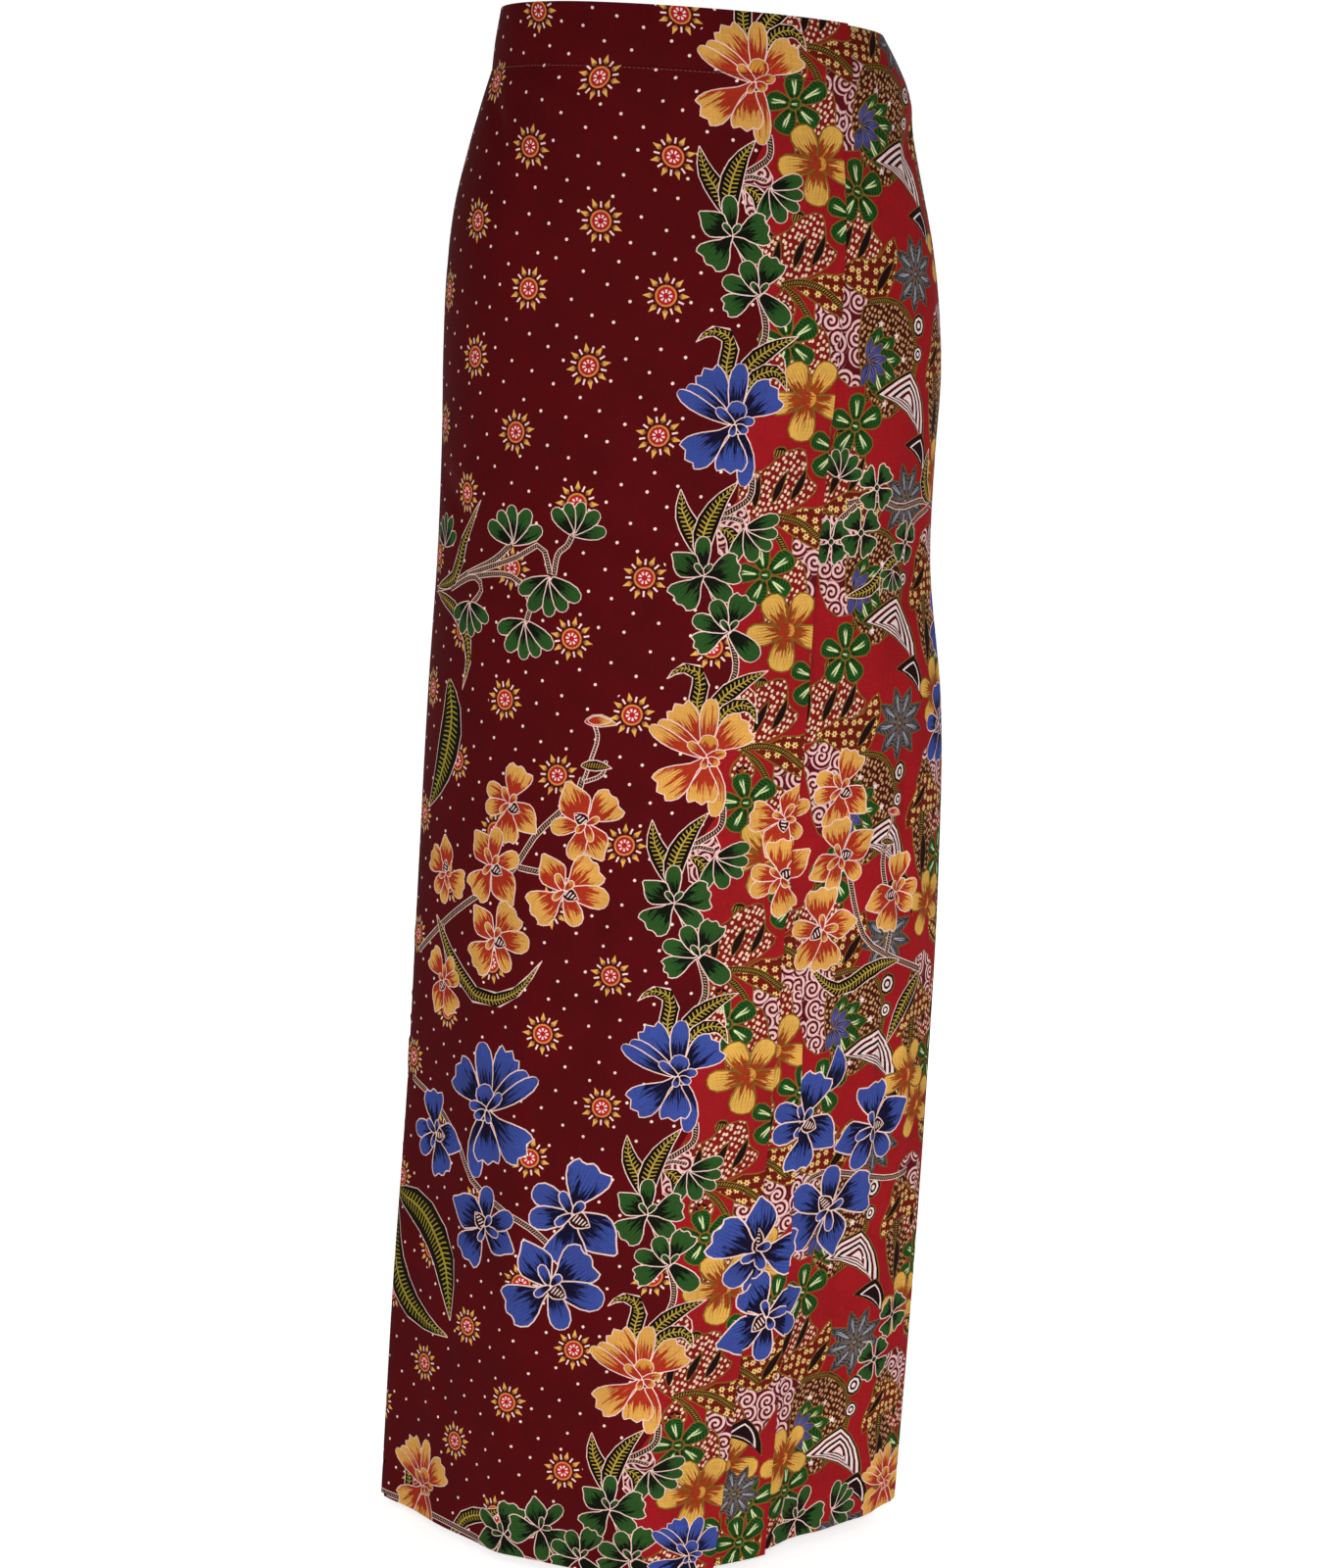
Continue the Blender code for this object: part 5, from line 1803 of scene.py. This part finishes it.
@dataclass
class Skirt:
    """All the pieces of the skirt."""

    form: WornForm = field(default_factory=WornForm)
    finishes: Finishes = field(default_factory=Finishes)
    print: BatikPrint = field(default_factory=BatikPrint)
    left_seam: float = -98.0
    right_seam: float = 98.0
    under_lap_edge: float = -24.0
    pleat_depth: float = 21.0
    band: float = 40.0
    seam_gap: float = 0.12
    edge_step: float = 7.0

    @cached_property
    def cloth_map(self) -> ClothMap:
        """Return the map from the print to the form."""
        return ClothMap(self.form)

    def outline(self, left: object, right: object, top: float, low: float) -> Array:
        """Return a piece's outline in millimetres.

        Args:
            left: the angle of its left side, or a function that gives it at drops in metres.
            right: the same for its right side.
            top: its upper edge in millimetres below the waist edge.
            low: its lower edge.

        Returns:
            The points, down the left side, along the lower edge, up the right side and back.
        """
        down = np.linspace(top, low, max(int((low - top) / self.edge_step), 3) + 1)
        sides = []
        for side in (left, right):
            angle = side(down * MM) if callable(side) else np.full(len(down), side)
            sides.append(np.stack([self.cloth_map.reach(angle, down), down], axis=-1))
        count = int((sides[1][:, 0] - sides[0][:, 0]).mean() / self.edge_step) + 1
        part = np.linspace(0.0, 1.0, count)[1:-1, None]
        low_edge = sides[0][-1] + (sides[1][-1] - sides[0][-1]) * part
        top_edge = sides[1][0] + (sides[0][0] - sides[1][0]) * part
        return np.concatenate([sides[0], low_edge, sides[1][::-1], top_edge])

    def piece(self, name: str, layer: Layer, drawing: Drawing, ground: Ink, left: object, right: object,
              top: float, low: float, rests_on: tuple[str, ...] = ()) -> Cloth:
        """Return a piece between two sides and two drops."""
        edge = self.outline(left, right, top, low)
        height = (low - top) * MM
        width = ring_area(edge) * MM**2 / height
        return Cloth(name, layer, drawing, ground, edge, (width, height), self.form, self.cloth_map,
                     self.finishes, rests_on=rests_on)

    def build(self) -> list[bpy.types.Object]:
        """Build every piece of cloth, the bands first."""
        wrap_edge = lambda drop: self.form.along(WRAP_EDGE, "angle", drop)
        pleat_edge = lambda drop: self.form.along(PLEAT_EDGE, "angle", drop)
        pleat_root = lambda drop: wrap_edge(drop) - self.pleat_depth
        top, low = self.band + self.seam_gap, LENGTH / MM
        band_low = self.band - self.seam_gap
        wrap, under, back = self.print.wrap(), self.print.under(), self.print.back()
        back_end = self.left_seam + 360.0
        pieces = [
            self.piece("waistband_under", Layer.UNDER, under + self.back_cover() + back, MAROON,
                       self.under_lap_edge, back_end, 0.0, band_low),
            self.piece("waistband_over", Layer.WRAP, wrap, MAROON, self.left_seam, wrap_edge, 0.0, band_low),
            self.piece("back_panel", Layer.UNDER, back, MAROON, self.right_seam, back_end, top, low),
            self.piece("under_panel", Layer.UNDER, under, RED, self.under_lap_edge, self.right_seam, top,
                       low),
            self.piece("pleat_underlay", Layer.PLEAT, self.print.pleat(), RED, pleat_root, pleat_edge, top,
                       low),
            self.piece("front_wrap_panel", Layer.WRAP, wrap, MAROON, self.left_seam, wrap_edge, top, low),
        ]
        return [piece.build() for piece in pieces]

    def back_cover(self) -> Drawing:
        """Return the maroon ground of the band round the back, over the red one of its front."""
        seam = self.cloth_map.reach(np.array([self.right_seam]), np.array([20.0]))[0]
        outline = np.array([[seam, -20.0], [seam + 700.0, -20.0], [seam + 700.0, 60.0], [seam, 60.0]])
        return [Shape(outline, MAROON, outline[:2], np.ones(2))]


@dataclass
class Stitching:
    """A row of stitches along a drop: small closed lozenges of thread lying on the cloth."""

    name: str
    layer: Layer
    first_angle: float
    last_angle: float
    drop: float
    form: WornForm
    material: bpy.types.Material
    pitch: float = 0.0030
    length: float = 0.0023
    thick: float = 0.00042

    def build(self) -> bpy.types.Object:
        """Build the row as one piece.

        Each stitch is rings across a short line on the form: a ring's reach is the root of 1 less the
        square of its place along the line.

        Returns:
            The object, riding on the skirt's one body.
        """
        fine = np.linspace(self.first_angle, self.last_angle, 721)
        level = np.full(len(fine), self.drop)
        out = getattr(self.form, self.layer.value)(fine, level)
        line = self.form.points(fine, level, out)
        run = np.concatenate([[0.0], np.cumsum(np.linalg.norm(np.diff(line, axis=0), axis=1))])
        starts = np.arange(self.pitch, run[-1] - self.pitch, self.pitch)
        part = np.linspace(-1.0, 1.0, 5)
        turn = np.linspace(0.0, 2.0 * np.pi, 6, endpoint=False)
        at = starts[:, None] + 0.5 * self.length * part[None]
        angle = np.interp(at, run, fine)
        drops = np.full(angle.shape, self.drop)
        place = getattr(self.form, self.layer.value)(angle, drops)
        size = 0.5 * self.thick * np.sqrt(1.0 - 0.98 * part**2)
        up = (size[None, :, None] * np.cos(turn))[..., None] * np.array([0.0, 0.0, 1.0])
        away = self.form.points(angle, drops, place + 0.001) - self.form.points(angle, drops, place)
        away /= np.linalg.norm(away, axis=-1, keepdims=True)
        outward = (size[None, :, None] * np.sin(turn))[..., None] * away[:, :, None, :]
        middle = self.form.points(angle, drops, place + 0.12 * self.thick)
        points = (middle[:, :, None, :] + up + outward).reshape(-1, 3)
        ring, side = np.meshgrid(np.arange(len(part) - 1), np.arange(len(turn)), indexing="ij")
        after = (side + 1) % len(turn)
        quad = np.stack([ring * 6 + side, ring * 6 + after, (ring + 1) * 6 + after, (ring + 1) * 6 + side],
                        -1).reshape(-1, 4)
        whole = (np.arange(len(starts))[:, None, None] * len(part) * 6 + quad[None]).reshape(-1, 4)
        ends = np.arange(len(starts))[:, None] * len(part) * 6
        mesh = bpy.data.meshes.new(self.name)
        caps = np.concatenate([ends + np.arange(6)[::-1], ends + (len(part) - 1) * 6 + np.arange(6)])
        mesh.from_pydata(points, [], whole.tolist() + caps.tolist())
        mesh.polygons.foreach_set("use_smooth", np.ones(len(mesh.polygons), bool))
        mesh.materials.append(self.material)
        obj = bpy.data.objects.new(self.name, mesh)
        bpy.context.collection.objects.link(obj)
        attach(obj, "root")
        LOG.info("%s: %d stitches", self.name, len(starts))
        return obj


@dataclass
class Studio:
    """The camera at the photograph's angle, a pale floor and soft lights."""

    eye: tuple[float, float, float] = (0.0, -1.85, -0.24)
    pitch: float = 11.0
    roll: float = 1.5
    focal_pixels: float = 2690.0
    image_width: float = 1344.0
    image_height: float = 1600.0
    middle_x: float = 681.6
    middle_y: float = 917.9
    sensor: float = 36.0
    floor_gap: float = 0.004
    floor_size: float = 14.0
    floor_glow: float = 0.66

    def camera(self) -> None:
        """Place the camera, turned by its pitch and roll, and shift it to the photograph's middle."""
        down, lean = math.radians(self.pitch), math.radians(self.roll)
        right, up = np.array([1.0, 0.0, 0.0]), np.array([0.0, math.sin(down), math.cos(down)])
        back = -np.array([0.0, math.cos(down), -math.sin(down)])
        axes = np.stack([math.cos(lean) * right + math.sin(lean) * up,
                         math.cos(lean) * up - math.sin(lean) * right, back])
        data = bpy.data.cameras.new("photo_camera")
        data.lens = self.focal_pixels / self.image_height * self.sensor
        data.sensor_width = self.sensor
        data.shift_x = (0.5 * self.image_width - self.middle_x) / self.image_height
        data.shift_y = (self.middle_y - 0.5 * self.image_height) / self.image_height
        data.clip_end = 60.0
        camera = bpy.data.objects.new("photo_camera", data)
        camera.matrix_world = Matrix.Translation(self.eye) @ Matrix(axes.T.tolist()).to_4x4()
        bpy.context.collection.objects.link(camera)
        bpy.context.scene.camera = camera

    def light(self, name: str, place: tuple, aim: tuple, size: float, power: float, tint: tuple) -> None:
        """Place a square area light that faces a point."""
        data = bpy.data.lights.new(name, "AREA")
        data.size = size
        data.energy = power
        data.color = tint
        light = bpy.data.objects.new(name, data)
        back = np.array(place) - np.array(aim)
        back /= np.linalg.norm(back)
        right = np.cross([0.0, 0.0, 1.0], back)
        right /= np.linalg.norm(right)
        turn = Matrix(np.stack([right, np.cross(back, right), back]).T.tolist())
        light.matrix_world = Matrix.Translation(place) @ turn.to_4x4()
        bpy.context.collection.objects.link(light)

    def floor(self, finishes: Finishes) -> None:
        """Lay the floor just under the hem, as a grid whose far side curves up into a backdrop."""
        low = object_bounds()[0][2] - self.floor_gap
        side = np.linspace(-0.5, 0.5, 9) * self.floor_size
        u, v = np.meshgrid(side, side)
        rise = np.clip(v - 0.28 * self.floor_size, 0.0, None) ** 2 * 0.5
        points = np.stack([u, v, low + rise], axis=-1).reshape(-1, 3)
        i, j = np.meshgrid(np.arange(8), np.arange(8), indexing="ij")
        first = (i * 9 + j).ravel()
        mesh = bpy.data.meshes.new("floor")
        mesh.from_pydata(points, [], np.stack([first, first + 1, first + 10, first + 9], axis=-1).tolist())
        mesh.polygons.foreach_set("use_smooth", np.ones(64, bool))
        material = finishes.plain("pale_floor", "#F6F4F2", 0.9, 6.0, 0.0005)
        shader = material.node_tree.nodes["Principled BSDF"]
        shader.inputs["Emission Color"].default_value = (1.0, 1.0, 1.0, 1.0)
        shader.inputs["Emission Strength"].default_value = self.floor_glow
        mesh.materials.append(material)
        obj = bpy.data.objects.new("floor", mesh)
        bpy.context.collection.objects.link(obj)
        obj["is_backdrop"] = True

    def build(self, finishes: Finishes) -> None:
        """Place camera, floor, lights and the pale world."""
        self.camera()
        self.floor(finishes)
        middle = (0.0, 0.0, -0.55)
        self.light("key_light", (-0.3, -2.5, 0.05), (0.0, 0.0, -0.85), 0.5, 18.0, (1.0, 0.97, 0.94))
        self.light("fill_light", (2.2, -1.6, 0.1), middle, 2.0, 5.0, (0.97, 0.98, 1.0))
        self.light("low_light", (0.3, -1.35, -0.95), (0.0, 0.0, -0.95), 0.8, 10.0, (1.0, 0.97, 0.93))
        self.light("back_light", (0.6, 2.6, 0.9), middle, 2.0, 22.0, (1.0, 1.0, 1.0))
        world = bpy.data.worlds.new("pale_world")
        world.use_nodes = True
        world.node_tree.nodes["Background"].inputs["Color"].default_value = (0.96, 0.97, 1.0, 1.0)
        world.node_tree.nodes["Background"].inputs["Strength"].default_value = 0.33
        bpy.context.scene.world = world
        bpy.context.scene.view_settings.view_transform = "Standard"


def main() -> None:
    """Build the skirt and its studio in order."""
    logging.basicConfig(level=logging.INFO, format="%(name)s %(message)s")
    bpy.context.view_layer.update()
    skirt = Skirt()
    Studio().build(skirt.finishes)
    skirt.build()
    thread = skirt.finishes.plain("sewing_thread", "#5A1A1C", 0.6, 900.0, 0.0001)
    pale_thread = skirt.finishes.plain("pale_thread", "#7A3A34", 0.6, 900.0, 0.0001)
    band_drop = 0.0412
    hem_drop = LENGTH - 0.025
    right_side = -97.5
    under_end = 261.5
    edges = skirt.form.along(WRAP_EDGE, "angle", np.array([0.042, hem_drop])).tolist()
    rows = (
        Stitching("band_stitches_over", Layer.WRAP, right_side, edges[0] - 0.5, band_drop, skirt.form,
                  pale_thread),
        Stitching("band_stitches_under", Layer.UNDER, edges[0] + 1.5, under_end, band_drop, skirt.form,
                  pale_thread),
        Stitching("hem_stitches_wrap", Layer.WRAP, right_side, edges[1] - 0.5, hem_drop, skirt.form, thread),
        Stitching("hem_stitches_under", Layer.UNDER, 30.0, under_end, hem_drop, skirt.form, thread),
    )
    for row in rows:
        row.build()


if __name__ == "__main__":
    main()
